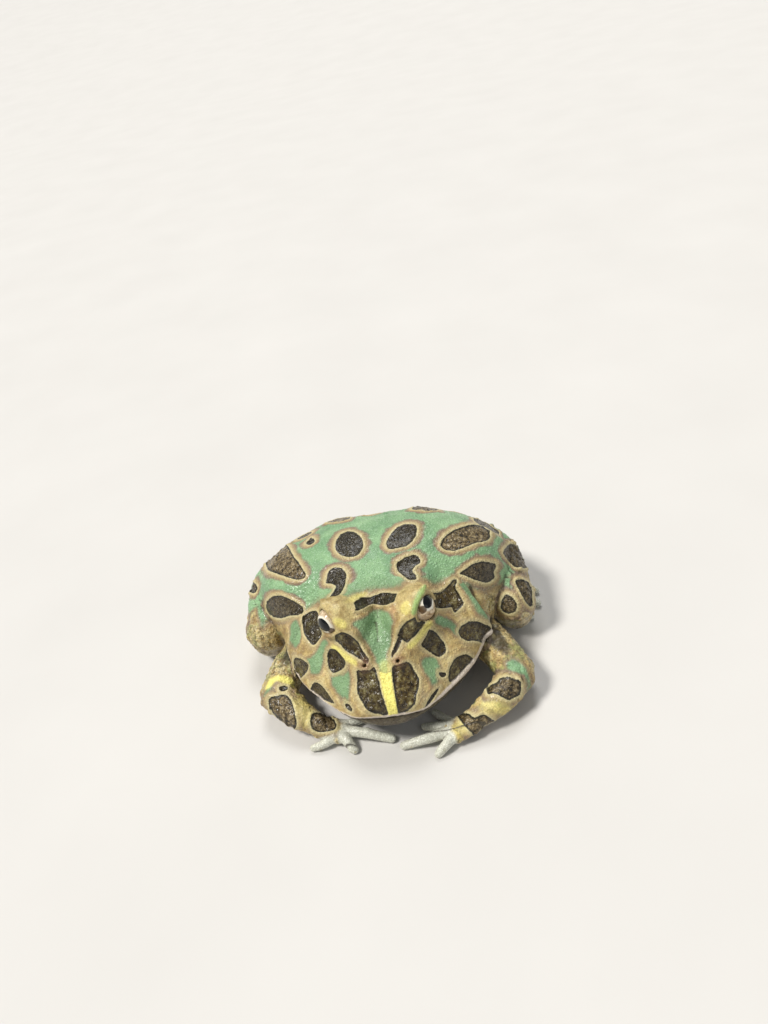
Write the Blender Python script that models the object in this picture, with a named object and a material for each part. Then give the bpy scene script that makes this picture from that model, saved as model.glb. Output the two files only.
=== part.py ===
"""Argentine horned frog, a still life-size model, sitting with its hands turned in under its chin.

The frog faces -Y and +Z is up. X is 0 on its midline, its left side is at +X, and it rests on z = 0.
Sizes and places are in millimetres, and mm() turns them into the metres that Blender works in.
Each piece is one closed body. Pieces that press on each other are carved apart by GAP.
Places on the head are given for the left side and mirrored for the right.
"""

import math

import bmesh
import bpy
from mathutils import Matrix, Vector

# Driving dimensions
SNOUT_VENT = 91.0
SNOUT_Y = -46.0
NECK_Y = -10.0
GAP = 0.3
FLOOR_SINK = 0.6
LIP_OVERHANG = 0.9
OVERHANG_FADE = 6.0
SIDES = {"left": 1, "right": -1}

# Trunk stations from the snout to the vent: share of the length, half width, top, base,
# level of the widest line, and how square the section is above and below that line.
TRUNK = (
    (0.000, 0.0, 13.6, 13.2, 13.4, 2.0, 2.0),
    (0.006, 7.0, 17.0, 9.6, 13.4, 1.9, 2.0),
    (0.035, 12.8, 20.2, 7.4, 13.2, 1.8, 2.0),
    (0.085, 18.2, 24.0, 5.6, 13.0, 1.7, 2.1),
    (0.150, 23.8, 28.4, 3.8, 13.1, 1.65, 2.2),
    (0.225, 28.2, 31.2, 2.4, 13.6, 1.7, 2.3),
    (0.310, 31.6, 33.2, 1.4, 14.4, 1.85, 2.4),
    (0.395, 34.2, 36.2, 0.4, 15.2, 2.1, 2.6),
    (0.490, 39.0, 38.4, -0.5, 16.0, 2.5, 3.0),
    (0.600, 42.4, 39.0, -FLOOR_SINK, 16.0, 2.6, 3.2),
    (0.710, 41.0, 36.4, -FLOOR_SINK, 15.6, 2.5, 3.2),
    (0.810, 35.4, 31.8, -FLOOR_SINK, 15.0, 2.3, 3.0),
    (0.900, 25.6, 25.2, 0.2, 14.0, 2.1, 2.6),
    (0.965, 14.5, 20.0, 3.2, 12.4, 2.0, 2.2),
    (0.992, 6.0, 15.6, 7.4, 11.8, 2.0, 2.0),
    (1.000, 0.0, 11.9, 11.5, 11.7, 2.0, 2.0),
)
HEAD_RINGS = 22
TORSO_RINGS = 18
UPPER_ARC = 24
LOWER_ARC = 14

# Soft swellings and hollows of the trunk: place on the left side, reach, height out of the surface.
SWELLINGS = {
    "brow_mound": ((9.6, -21.5, 32.0), 7.4, 3.4),
    "brow_rear": ((12.5, -14.5, 33.0), 5.0, 1.4),
    "canthus_upper": ((9.4, -29.6, 29.4), 3.8, 2.1),
    "canthus_lower": ((7.2, -34.2, 26.4), 3.2, 1.4),
    "nostril_rim": ((4.9, -36.2, 25.4), 2.2, 0.8),
    "crown_hollow": ((0.0, -24.0, 33.0), 5.4, -2.2),
    "snout_hollow": ((0.0, -33.0, 28.0), 3.6, -0.9),
    "lore_hollow": ((14.6, -33.0, 23.0), 4.4, -1.3),
    "cheek": ((26.0, -20.0, 22.5), 6.5, 1.5),
    "temple_hollow": ((21.0, -13.0, 31.0), 5.0, -0.9),
    "lip_front": ((8.0, -44.5, 15.2), 5.0, 0.5),
    "lip_side": ((26.5, -27.5, 15.0), 6.0, 0.6),
    "shoulder": ((31.0, -4.0, 29.0), 8.0, 1.3),
    "back_plate": ((10.0, 4.0, 38.5), 9.0, 0.7),
    "spine_furrow": ((0.0, 8.0, 39.0), 6.0, -0.9),
    "hip": ((15.0, 25.0, 35.0), 7.0, 1.2),
    "flank_fold": ((41.0, 2.0, 22.0), 8.0, 1.0),
    "vent_rim": ((4.0, 43.5, 16.0), 4.0, 0.8),
}

# Eye, with the corners of its opening, and the way that the cut edge of the upper lid faces
EYE_CENTRE = (13.1, -23.8, 33.6)
EYE_RADIUS = 4.4
GAZE = (0.66, -0.48, 0.58)
EYE_FRONT_CORNER = (11.7, -27.9, 33.2)
EYE_REAR_CORNER = (15.5, -20.3, 34.5)
LOWER_LID_MIDDLE = (16.7, -25.2, 31.6)
UPPER_LID_FACING = (0.84, -0.54, 0.04)
UPPER_LID_CENTRE = (12.0, -23.2, 32.8)
UPPER_LID_SEMI_AXES = (6.2, 7.2, 6.4)
BROW_CENTRE = (8.8, -21.6, 30.8)
BROW_SEMI_AXES = (7.6, 9.6, 6.2)
LOWER_LID_RADIUS = 5.5

# The pointed flap on the upper lid, from its broad root to its tip: place, half width, half thickness
HORN = (
    ((12.4, -21.6, 34.6), 4.6, 4.2),
    ((14.0, -21.6, 37.4), 2.3, 1.9),
    ((15.2, -21.3, 39.4), 0.8, 0.7),
)

# Nostril as a short slanting pit, and the eardrum as a low disc set in the cheek
NOSTRIL = (4.9, -36.4, 26.0)
NOSTRIL_FACING = (0.45, -0.62, 0.64)
NOSTRIL_RADII = (0.45, 0.9)
NOSTRIL_DEPTH = 2.4
TYMPANUM_CENTRE = (28.6, -14.2, 22.6)
TYMPANUM_FACING = (0.86, 0.0, 0.51)
TYMPANUM_SEMI_AXES = (2.6, 3.4, 1.6)

# Limbs as place, half width and half thickness from root to end
UPPER_ARM = {
    "left": (((25.0, -9.0, 9.6), 7.2, 6.4), ((33.0, -19.5, 8.8), 6.3, 5.4), ((38.4, -29.0, 7.2), 5.5, 5.2)),
    "right": (((-25.0, -7.5, 9.6), 7.2, 6.4), ((-32.4, -16.5, 8.8), 6.3, 5.4), ((-36.6, -24.6, 7.2), 5.5, 5.2)),
}
FOREARM = {
    "left": (((38.2, -31.0, 7.0), 5.5, 5.2), ((31.6, -38.4, 6.2), 4.8, 4.4), ((24.2, -42.8, 4.6), 3.4, 3.1)),
    "right": (((-36.8, -26.8, 7.0), 5.5, 5.2), ((-30.6, -33.4, 6.2), 4.8, 4.4), ((-23.6, -38.0, 4.4), 3.4, 3.1)),
}
PALM = {
    "left": (((22.8, -43.6, 3.8), 3.7, 2.6), ((17.4, -45.0, 2.5), 4.2, 2.2)),
    "right": (((-22.2, -38.6, 3.6), 3.7, 2.6), ((-16.8, -40.2, 2.5), 4.2, 2.2)),
}
# Each finger as knuckle, middle and tip, and its radius
FINGERS = {
    "left": (
        ((18.0, -42.6, 2.4), (15.0, -39.6, 2.0), (12.2, -36.4, 1.2), 1.35),
        ((16.6, -43.4, 2.6), (12.8, -42.6, 2.6), (8.8, -41.0, 1.1), 1.45),
        ((15.8, -45.2, 2.6), (9.4, -46.6, 2.9), (2.2, -46.8, 1.1), 1.55),
        ((16.4, -47.2, 2.4), (14.8, -49.2, 2.4), (12.2, -51.0, 1.1), 1.5),
    ),
    "right": (
        ((-16.6, -37.8, 2.4), (-12.8, -36.8, 2.0), (-9.0, -35.0, 1.2), 1.35),
        ((-15.4, -40.0, 2.6), (-8.6, -42.2, 2.9), (-1.4, -43.8, 1.1), 1.55),
        ((-16.0, -42.0, 2.6), (-14.6, -44.0, 2.5), (-12.8, -46.2, 1.1), 1.55),
        ((-18.6, -41.8, 2.4), (-21.8, -43.4, 2.0), (-25.4, -43.8, 1.1), 1.35),
    ),
}
FINGER_SWELL = (1.12, 1.0, 0.82)
THIGH = {
    "left": (((20.5, 31.5, 14.0), 9.6, 9.2), ((35.6, 14.5, 16.0), 10.0, 9.8), ((41.0, -3.5, 11.6), 7.6, 7.6)),
    "right": (((-20.5, 32.0, 14.0), 9.6, 9.2), ((-36.4, 15.5, 16.0), 10.2, 10.0), ((-41.4, -1.5, 11.4), 7.6, 7.6)),
}
SHANK = {
    "left": (((41.4, -3.0, 7.2), 6.4, 6.4), ((38.6, 14.0, 6.4), 6.4, 6.0), ((31.0, 29.5, 5.0), 4.6, 4.4)),
    "right": (((-41.8, -1.0, 7.2), 6.4, 6.4), ((-39.0, 16.0, 6.4), 6.4, 6.0), ((-31.4, 31.0, 5.0), 4.6, 4.4)),
}
TARSUS = {
    "left": (((30.6, 31.0, 3.8), 4.2, 3.6), ((38.4, 25.0, 3.2), 4.0, 2.9), ((43.6, 16.0, 2.4), 4.6, 2.2)),
    "right": (((-31.0, 32.5, 3.8), 4.2, 3.6), ((-38.8, 26.5, 3.2), 4.0, 2.9), ((-43.8, 18.0, 2.4), 4.6, 2.2)),
}

# Toes from the inner to the outer one: the tips' places on the floor, and each toe's radius
TOE_TIPS = {
    "left": ((39.6, 8.0), (42.4, 3.4), (46.8, -1.4), (50.0, 4.2), (50.6, 10.4)),
    "right": ((-40.0, 10.0), (-42.8, 5.6), (-47.2, 0.8), (-50.2, 6.2), (-50.8, 12.4)),
}
TOE_RADII = (1.4, 1.4, 1.5, 1.5, 1.35)
TOE_SWELL = (1.25, 1.05, 0.82)
TOE_HEIGHT = 1.2

# Web between the toes: share of a toe that it reaches, how far it draws back between two toes
WEB_SHARE = 0.62
WEB_NOTCH = 0.08
WEB_THICKNESS = 0.9

# The hard digging spade at the inner edge of the foot: offset from the ball of the foot
SPADE_OFFSET = (-4.6, 1.5, -0.6)
SPADE_SEMI_AXES = (1.5, 2.6, 1.3)

# Facets round each kind of piece
SIDES_THICK = 14
SIDES_MEDIUM = 12
SIDES_SMALL = 10
SIDES_DIGIT = 7
EYE_SEGMENTS = 20
LID_SEGMENTS = 18
END_ANGLES = (30, 58, 80)
SHARP_EDGE_DEGREES = 50

# Colour and roughness of each material
SKIN_BACK = ((0.24, 0.55, 0.42, 1.0), 0.55)
SKIN_FACE = ((0.36, 0.52, 0.34, 1.0), 0.50)
SKIN_TAN = ((0.52, 0.38, 0.20, 1.0), 0.55)
SKIN_DARK = ((0.06, 0.05, 0.03, 1.0), 0.50)
SKIN_PALE = ((0.72, 0.66, 0.58, 1.0), 0.55)
EYE_DARK = ((0.02, 0.015, 0.01, 1.0), 0.08)


def mm(place):
    """A place in millimetres as a vector in metres."""
    return Vector(place) * 0.001


def mirrored(place, side):
    x, y, z = place
    return Vector((x * side, y, z))


def clear_scene():
    for old in list(bpy.data.objects):
        bpy.data.objects.remove(old)


def material(name, look):
    colour, roughness = look
    made = bpy.data.materials.new(name)
    made.use_nodes = True
    shader = made.node_tree.nodes["Principled BSDF"]
    shader.inputs["Base Color"].default_value = colour
    shader.inputs["Roughness"].default_value = roughness
    shader.inputs["Metallic"].default_value = 0.0
    return made


def add_object(name, bm):
    """Links a shape that is still hidden from render, as every cutter stays. finish() shows the pieces."""
    bmesh.ops.recalc_face_normals(bm, faces=bm.faces)
    mesh = bpy.data.meshes.new(name)
    bm.to_mesh(mesh)
    bm.free()
    obj = bpy.data.objects.new(name, mesh)
    bpy.context.scene.collection.objects.link(obj)
    obj.hide_render = True
    return obj


def boolean(obj, other, operation="DIFFERENCE"):
    """Applies one Boolean and removes the other object."""
    modifier = obj.modifiers.new("shape", "BOOLEAN")
    modifier.operation = operation
    modifier.solver = "MANIFOLD"
    modifier.object = other
    with bpy.context.temp_override(object=obj, active_object=obj):
        bpy.ops.object.modifier_apply(modifier=modifier.name)
    bpy.data.objects.remove(other)
    return obj


def carve(obj, *cutters):
    for cutter in cutters:
        boolean(obj, cutter)
    return obj


def keep_largest_body(obj):
    """Drops the loose scraps that a cut leaves and keeps the largest closed surface."""
    bm = bmesh.new()
    bm.from_mesh(obj.data)
    left = set(bm.verts)
    bodies = []
    while left:
        found = {left.pop()}
        front = list(found)
        while front:
            for edge in front.pop().link_edges:
                for vert in edge.verts:
                    if vert in left:
                        left.remove(vert)
                        found.add(vert)
                        front.append(vert)
        bodies.append(found)
    largest = max(bodies, key=len)
    scraps = [vert for body in bodies if body is not largest for vert in body]
    bmesh.ops.delete(bm, geom=scraps, context="VERTS")
    bm.to_mesh(obj.data)
    bm.free()


def between(places, rows, place):
    """A smooth curve through rows of numbers that stand at the given places along a line."""
    last = len(places) - 1
    first = 0
    while first < last - 1 and place > places[first + 1]:
        first += 1
    before, after = max(first - 1, 0), min(first + 2, last)
    span = places[first + 1] - places[first]
    t = min(max((place - places[first]) / span, 0.0), 1.0)
    blended = []
    for p0, p1, p2, p3 in zip(rows[before], rows[first], rows[first + 1], rows[after]):
        slope_in = (p2 - p0) / (places[first + 1] - places[before]) * span
        slope_out = (p3 - p1) / (places[after] - places[first]) * span
        blended.append(
            p1 * (2 * t**3 - 3 * t**2 + 1)
            + slope_in * (t**3 - 2 * t**2 + t)
            + p2 * (3 * t**2 - 2 * t**3)
            + slope_out * (t**3 - t**2)
        )
    return blended


def loft(name, rings):
    """Joins rings of equal count, and closes the first and the last ring by a fan."""
    bm = bmesh.new()
    loops = [[bm.verts.new(mm(place)) for place in ring] for ring in rings]
    count = len(loops[0])
    for lower, upper in zip(loops, loops[1:]):
        for i in range(count):
            j = (i + 1) % count
            bm.faces.new((lower[i], lower[j], upper[j], upper[i]))
    for loop in (loops[0], loops[-1]):
        middle = bm.verts.new(sum((vert.co for vert in loop), Vector()) / count)
        for i in range(count):
            bm.faces.new((loop[i], loop[(i + 1) % count], middle))
    return add_object(name, bm)


def tube(name, stations, sides, steps, grow=0.0):
    """A limb with round ends through stations of place, half width and half thickness."""
    rows = [(*place, wide, thick) for place, wide, thick in stations]
    places = list(range(len(rows)))
    samples = [between(places, rows, places[-1] * i / steps) for i in range(steps + 1)]
    centres = [Vector(row[:3]) for row in samples]
    rings = []

    def add_ring(centre, along, wide, thick):
        across = along.cross(Vector((0, 0, 1))).normalized()
        upward = across.cross(along).normalized()
        turns = [2 * math.pi * i / sides for i in range(sides)]
        rings.append([centre + across * (math.cos(a) * wide) + upward * (math.sin(a) * thick) for a in turns])

    def add_round_end(centre, along, wide, thick, outward):
        """Shrinking rings, widest first at the far end and widest last at the near end."""
        for degrees in END_ANGLES[::outward]:
            angle = math.radians(degrees)
            reach = along * (outward * math.sin(angle) * min(wide, thick))
            add_ring(centre + reach, along, wide * math.cos(angle), thick * math.cos(angle))

    for i, row in enumerate(samples):
        along = (centres[min(i + 1, steps)] - centres[max(i - 1, 0)]).normalized()
        wide, thick = row[3] + grow, row[4] + grow
        if i == 0:
            add_round_end(centres[i], along, wide, thick, -1)
        add_ring(centres[i], along, wide, thick)
        if i == steps:
            add_round_end(centres[i], along, wide, thick, 1)
    return loft(name, rings)


def facing(direction):
    """Rotation that carries +Z to a direction."""
    return Vector(direction).to_track_quat("Z", "Y").to_matrix().to_4x4()


def ball(name, centre, semi_axes, segments, grow=0.0, direction=(0, 0, 1)):
    """An ellipsoid whose third axis points in the given direction."""
    bm = bmesh.new()
    bmesh.ops.create_uvsphere(bm, u_segments=segments, v_segments=segments // 2 + 2, radius=1.0)
    size = Matrix.Diagonal((*mm([axis + grow for axis in semi_axes]), 1.0))
    bmesh.ops.transform(bm, matrix=Matrix.Translation(mm(centre)) @ facing(direction) @ size, verts=bm.verts)
    return add_object(name, bm)


def half_space(point, normal, size=60.0):
    """A box whose near face passes through the point, and which fills the side that normal points to."""
    bm = bmesh.new()
    bmesh.ops.create_cube(bm, size=size * 0.001)
    bmesh.ops.translate(bm, vec=mm((0, 0, size / 2)), verts=bm.verts)
    bmesh.ops.transform(bm, matrix=Matrix.Translation(mm(point)) @ facing(normal), verts=bm.verts)
    return add_object("half_space", bm)


def floor_cut(obj):
    """Flattens what reaches below the floor, so that the piece rests on a small flat."""
    return carve(obj, half_space((0, 0, 0), (0, 0, -1), size=SNOUT_VENT * 4))


def swell(place, outward):
    """Raises or sinks a place of the trunk by each named swelling and its mirror image."""
    push = 0.0
    for centre, reach, height in SWELLINGS.values():
        for side in (1, -1) if centre[0] else (1,):
            distance = (place - mirrored(centre, side)).length / reach
            push += height * math.exp(-distance * distance)
    return place + outward.normalized() * push


def arc(half_width, rise, squareness, count):
    """Points of half a rounded section, from its left end over the top to its right end."""
    for i in range(count + 1):
        angle = math.pi * i / count
        across = math.copysign(abs(math.cos(angle)) ** (2 / squareness), math.cos(angle))
        yield half_width * across, rise * math.sin(angle) ** (2 / squareness)


def trunk_ring(share, region):
    """One section of the head above the mouth's line, of the jaw below it, or of the whole torso."""
    places = [row[0] for row in TRUNK]
    half_width, top, base, level, square_up, square_down = between(places, [row[1:] for row in TRUNK], share)
    y = SNOUT_Y + SNOUT_VENT * share
    upper = []
    for x, rise in arc(half_width, top - level, square_up, UPPER_ARC):
        outward = Vector((x / half_width**2, 0, rise / (top - level) ** 2 + 1e-6))
        upper.append(swell(Vector((x, y, level + rise)), outward))
    overhang = LIP_OVERHANG * min(max((NECK_Y - y) / OVERHANG_FADE, 0.0), 1.0)
    inner = max(half_width - overhang, half_width / 2)
    step = GAP if region == "jaw" else 0.0
    lower = [
        Vector((-x, y, level - step - drop))
        for x, drop in arc(inner, level - step - base, square_down, LOWER_ARC)
    ]
    return {"head": upper, "jaw": lower, "torso": upper[:-1] + lower[:-1]}[region]


def trunk(name, region):
    """The head, the jaw or the torso as a loft. Rings stand closer where the snout and the vent round off."""
    neck = (NECK_Y - SNOUT_Y) / SNOUT_VENT
    half_gap = GAP / 2 / SNOUT_VENT
    if region == "torso":
        start = neck + half_gap
        turns = [math.pi / 2 * i / TORSO_RINGS for i in range(TORSO_RINGS)]
        shares = [start + (1 - start) * math.sin(turn) for turn in turns]
    else:
        turns = [math.pi / 2 * i / HEAD_RINGS for i in range(1, HEAD_RINGS + 1)]
        shares = [(neck - half_gap) * (1 - math.cos(turn)) for turn in turns]
    return loft(name, [trunk_ring(share, region) for share in shares])


def eyeball(name, side, grow=0.0):
    return ball(name, mirrored(EYE_CENTRE, side), (EYE_RADIUS,) * 3, EYE_SEGMENTS, grow, mirrored(GAZE, side))


def lid_edge(side):
    """A point of the upper lid's cut edge and the way that this edge faces."""
    return mirrored(EYE_FRONT_CORNER, side), mirrored(UPPER_LID_FACING, side).normalized()


def upper_lid(name, side, grow=0.0):
    """A hood over the inner side of the eye, with the horn on its edge."""
    point, outward = lid_edge(side)
    obj = ball(name, mirrored(UPPER_LID_CENTRE, side), UPPER_LID_SEMI_AXES, LID_SEGMENTS, grow)
    boolean(obj, ball("brow", mirrored(BROW_CENTRE, side), BROW_SEMI_AXES, LID_SEGMENTS, grow), "UNION")
    stations = [(mirrored(place, side), wide, thick) for place, wide, thick in HORN]
    boolean(obj, tube("horn", stations, SIDES_SMALL, 6, grow), "UNION")
    return carve(obj, half_space(point + outward * grow, outward))


def lower_lid(name, side, grow=0.0):
    """A crescent round the outer and lower side of the eye."""
    point, outward = lid_edge(side)
    rear, middle = mirrored(EYE_REAR_CORNER, side), mirrored(LOWER_LID_MIDDLE, side)
    upward = (rear - point).cross(middle - point).normalized()
    if upward.z < 0:
        upward.negate()
    obj = ball(name, mirrored(EYE_CENTRE, side), (LOWER_LID_RADIUS,) * 3, LID_SEGMENTS, grow)
    carve(obj, half_space(point + outward * (GAP - grow), -outward))
    return carve(obj, half_space(point + upward * grow, upward))


def tympanum(name, side, grow=0.0):
    return ball(
        name,
        mirrored(TYMPANUM_CENTRE, side),
        TYMPANUM_SEMI_AXES,
        SIDES_THICK,
        grow,
        mirrored(TYMPANUM_FACING, side),
    )


def nostril_pit(side):
    wide_end = NOSTRIL_RADII[1]
    bm = bmesh.new()
    bmesh.ops.create_cone(
        bm,
        cap_ends=True,
        segments=SIDES_SMALL,
        radius1=NOSTRIL_RADII[0] * 0.001,
        radius2=wide_end * 0.001,
        depth=NOSTRIL_DEPTH * 0.002,
    )
    turn = facing(mirrored(NOSTRIL_FACING, side))
    bmesh.ops.transform(bm, matrix=Matrix.Translation(mm(mirrored(NOSTRIL, side))) @ turn, verts=bm.verts)
    return add_object("nostril", bm)


def digit(joints, radius, swells, grow):
    stations = [(place, radius * swell_at, radius * swell_at) for place, swell_at in zip(joints, swells)]
    return tube("digit", stations, SIDES_DIGIT, 4, grow)


def hand(name, side_name, grow=0.0):
    """Palm and four fingers, joined to one body."""
    obj = tube(name, PALM[side_name], SIDES_SMALL, 2, grow)
    for *joints, radius in FINGERS[side_name]:
        boolean(obj, digit(joints, radius, FINGER_SWELL, grow), "UNION")
    return obj


def web(side_name, root, grow):
    """The skin between the toes, a thin plate from the ball of the foot."""
    tips = [Vector(tip) for tip in TOE_TIPS[side_name]]
    start = root.xy
    outline = [start]
    for i, tip in enumerate(tips):
        outline.append(start.lerp(tip, WEB_SHARE) + (tip - start).normalized() * grow)
        if i + 1 < len(tips):
            notch = (tip + tips[i + 1]) / 2
            outline.append(start.lerp(notch, WEB_SHARE - WEB_NOTCH) + (notch - start).normalized() * grow)
    half = WEB_THICKNESS / 2 + grow
    bm = bmesh.new()
    lower = [bm.verts.new(mm((*point, TOE_HEIGHT - half))) for point in outline]
    upper = [bm.verts.new(mm((*point, TOE_HEIGHT + half))) for point in outline]
    for i in range(1, len(outline) - 1):
        bm.faces.new((lower[0], lower[i], lower[i + 1]))
        bm.faces.new((upper[0], upper[i + 1], upper[i]))
    for i in range(len(outline)):
        j = (i + 1) % len(outline)
        bm.faces.new((lower[i], upper[i], upper[j], lower[j]))
    return add_object("web", bm)


def foot(name, side_name, grow=0.0):
    """Tarsus, five webbed toes and the digging spade, joined to one body."""
    obj = tube(name, TARSUS[side_name], SIDES_SMALL, 4, grow)
    root = Vector(TARSUS[side_name][-1][0])
    for tip, radius in zip(TOE_TIPS[side_name], TOE_RADII):
        far = Vector((*tip, TOE_HEIGHT))
        boolean(obj, digit((root, root.lerp(far, 0.5), far), radius, TOE_SWELL, grow), "UNION")
    boolean(obj, web(side_name, root, grow), "UNION")
    spade_place = root + mirrored(SPADE_OFFSET, SIDES[side_name])
    return boolean(obj, ball("spade", spade_place, SPADE_SEMI_AXES, SIDES_SMALL, grow), "UNION")


def upper_arm(name, side_name, grow=0.0):
    return tube(name, UPPER_ARM[side_name], SIDES_THICK, 8, grow)


def forearm(name, side_name, grow=0.0):
    return tube(name, FOREARM[side_name], SIDES_MEDIUM, 8, grow)


def thigh(name, side_name, grow=0.0):
    return tube(name, THIGH[side_name], SIDES_THICK, 10, grow)


def shank(name, side_name, grow=0.0):
    return tube(name, SHANK[side_name], SIDES_MEDIUM, 10, grow)


def finish(obj, look):
    """Makes a shaped piece one closed, smooth, visible body with its material."""
    keep_largest_body(obj)
    obj.hide_render = False
    obj.data.materials.clear()
    obj.data.materials.append(material(obj.name, look))
    obj.data.shade_smooth()
    obj.data.set_sharp_from_angle(angle=math.radians(SHARP_EDGE_DEGREES))


def build_limbs(name):
    """Each limb piece gives way to the next one towards the hand or the foot."""
    palm, sole = hand("hand_" + name, name), foot("foot_" + name, name)
    lower_arm = carve(forearm("forearm_" + name, name), hand("room", name, GAP))
    upper = carve(upper_arm("upper_arm_" + name, name), forearm("room", name, GAP))
    calf = carve(shank("shank_" + name, name), foot("room", name, GAP))
    upper_leg = carve(thigh("thigh_" + name, name), shank("room", name, GAP), foot("room", name, GAP))
    looks = {palm: SKIN_PALE, lower_arm: SKIN_TAN, upper: SKIN_TAN, sole: SKIN_PALE, calf: SKIN_TAN}
    looks[upper_leg] = SKIN_BACK
    for obj, look in looks.items():
        finish(floor_cut(obj), look)


def build_trunk():
    """Head, lower jaw and torso, with the room that the limbs, lids, eyes and ears take out of them."""
    head, jaw, torso = trunk("head", "head"), trunk("lower_jaw", "jaw"), trunk("torso", "torso")
    floor_cut(torso)
    for name, side in SIDES.items():
        for obj in (head, jaw, torso):
            carve(obj, *(limb("room", name, GAP) for limb in (upper_arm, forearm, thigh, shank, foot)))
        carve(head, *(piece("room", side, GAP) for piece in (upper_lid, lower_lid, eyeball, tympanum)))
        carve(head, nostril_pit(side))
    finish(head, SKIN_FACE)
    finish(jaw, SKIN_DARK)
    finish(torso, SKIN_BACK)


def build_face(name, side):
    finish(eyeball("eye_" + name, side), EYE_DARK)
    finish(carve(upper_lid("upper_lid_" + name, side), eyeball("room", side, GAP)), SKIN_TAN)
    finish(carve(lower_lid("lower_lid_" + name, side), eyeball("room", side, GAP)), SKIN_PALE)
    finish(tympanum("tympanum_" + name, side), SKIN_TAN)


clear_scene()
build_trunk()
for side_name, side_sign in SIDES.items():
    build_face(side_name, side_sign)
    build_limbs(side_name)
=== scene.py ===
"""Looks of the argentine horned frog: one unbroken skin, two eyes, a pale floor, soft light and the camera.

Places are in millimetres in the part's frame: the frog faces -Y, +Z is up and its left side is at +X.
The skin is the zero surface of a distance field on a grid. Trunk, limbs, lids and horns are blended in it.
Markings are outlines in the frame of 768 by 1024 pixels. The camera's rays carry them onto the skin, where
each becomes a distance in millimetres that the skin's material turns into rims, halos and dark interiors.
"""
import math
import random

import bmesh
import bpy
import numpy as np
from mathutils import Matrix, Vector, noise
from mathutils.bvhtree import BVHTree


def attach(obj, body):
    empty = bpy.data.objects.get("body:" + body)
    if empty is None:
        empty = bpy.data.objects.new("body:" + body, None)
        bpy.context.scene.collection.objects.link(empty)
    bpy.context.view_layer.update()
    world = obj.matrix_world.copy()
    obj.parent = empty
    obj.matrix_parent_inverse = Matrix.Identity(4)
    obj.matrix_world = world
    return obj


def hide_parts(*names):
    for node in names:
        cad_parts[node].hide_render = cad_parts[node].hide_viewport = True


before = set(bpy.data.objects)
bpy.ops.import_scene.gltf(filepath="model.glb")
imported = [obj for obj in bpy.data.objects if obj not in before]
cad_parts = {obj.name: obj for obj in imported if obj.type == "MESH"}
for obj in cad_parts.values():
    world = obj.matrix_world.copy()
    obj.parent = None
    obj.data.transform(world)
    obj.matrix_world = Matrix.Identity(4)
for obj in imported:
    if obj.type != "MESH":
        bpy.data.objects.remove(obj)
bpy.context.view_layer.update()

MM = 0.001
SIDES = {"left": 1, "right": -1}

# Camera: the view's azimuth, elevation and roll in degrees, its distance from the target, where the target
# stands in the picture, and how near and how far the camera sees in metres
AZIMUTH, ELEVATION, ROLL = 9.0, 42.0, 14.0
DISTANCE = 255.0
TARGET = Vector((0.0, 0.0, 20.0))
TARGET_PIXEL = (384.0, 592.0)
WIDTH, HEIGHT = 768, 1024
FOCAL_PIXELS = 769.0
SENSOR = 36.0
CLIP = (0.005, 20.0)

# Trunk, as the part's source has it. Each station has its share of the length, half width, top, base, the
# mouth line's level, and how square the trunk is above and below that level.
SNOUT_VENT, SNOUT_Y, NECK_Y = 91.0, -46.0, -10.0
LIP_OVERHANG, OVERHANG_FADE = 0.9, 6.0
LIP_SOFTNESS, BLEND_MARGIN = 0.9, 1.5
TRUNK = (
    (0.000, 0.0, 13.6, 13.2, 13.4, 2.0, 2.0),
    (0.006, 7.0, 17.0, 9.6, 13.4, 1.9, 2.0),
    (0.035, 12.8, 20.2, 7.4, 13.2, 1.8, 2.0),
    (0.085, 18.2, 24.0, 5.6, 13.0, 1.7, 2.1),
    (0.150, 23.8, 28.4, 3.8, 13.1, 1.65, 2.2),
    (0.225, 28.2, 31.2, 2.4, 13.6, 1.7, 2.3),
    (0.310, 31.6, 33.2, 1.4, 14.4, 1.85, 2.4),
    (0.395, 34.2, 36.2, 0.4, 15.2, 2.1, 2.6),
    (0.490, 39.0, 38.4, -0.5, 16.0, 2.5, 3.0),
    (0.600, 42.4, 39.0, -0.6, 16.0, 2.6, 3.2),
    (0.710, 41.0, 36.4, -0.6, 15.6, 2.5, 3.2),
    (0.810, 35.4, 31.8, -0.6, 15.0, 2.3, 3.0),
    (0.900, 25.6, 25.2, 0.2, 14.0, 2.1, 2.6),
    (0.965, 14.5, 20.0, 3.2, 12.4, 2.0, 2.2),
    (0.992, 6.0, 15.6, 7.4, 11.8, 2.0, 2.0),
    (1.000, 0.0, 11.9, 11.5, 11.7, 2.0, 2.0),
)
# Swellings and hollows of the trunk on both sides, or on the midline: centre, reach and height
SWELLINGS = (
    ((9.6, -21.5, 32.0), 7.4, 3.4),
    ((12.5, -14.5, 33.0), 5.0, 1.4),
    ((9.4, -29.6, 29.4), 3.8, 2.1),
    ((7.2, -34.2, 26.4), 3.2, 1.4),
    ((4.9, -36.2, 25.4), 2.2, 0.8),
    ((0.0, -24.0, 33.0), 5.4, -1.8),
    ((0.0, -33.0, 28.0), 3.6, -0.9),
    ((14.6, -33.0, 23.0), 4.4, -1.3),
    ((26.0, -20.0, 22.5), 6.5, 1.5),
    ((21.0, -13.0, 31.0), 5.0, -0.9),
    ((8.0, -44.5, 15.2), 5.0, 0.5),
    ((26.5, -27.5, 15.0), 6.0, 0.6),
    ((31.0, -4.0, 29.0), 8.0, 1.3),
    ((10.0, 4.0, 38.5), 9.0, 0.7),
    ((0.0, 8.0, 39.0), 6.0, -0.9),
    ((15.0, 25.0, 35.0), 7.0, 1.2),
    ((41.0, 2.0, 22.0), 8.0, 1.0),
    ((4.0, 43.5, 16.0), 4.0, 0.8),
)

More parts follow.
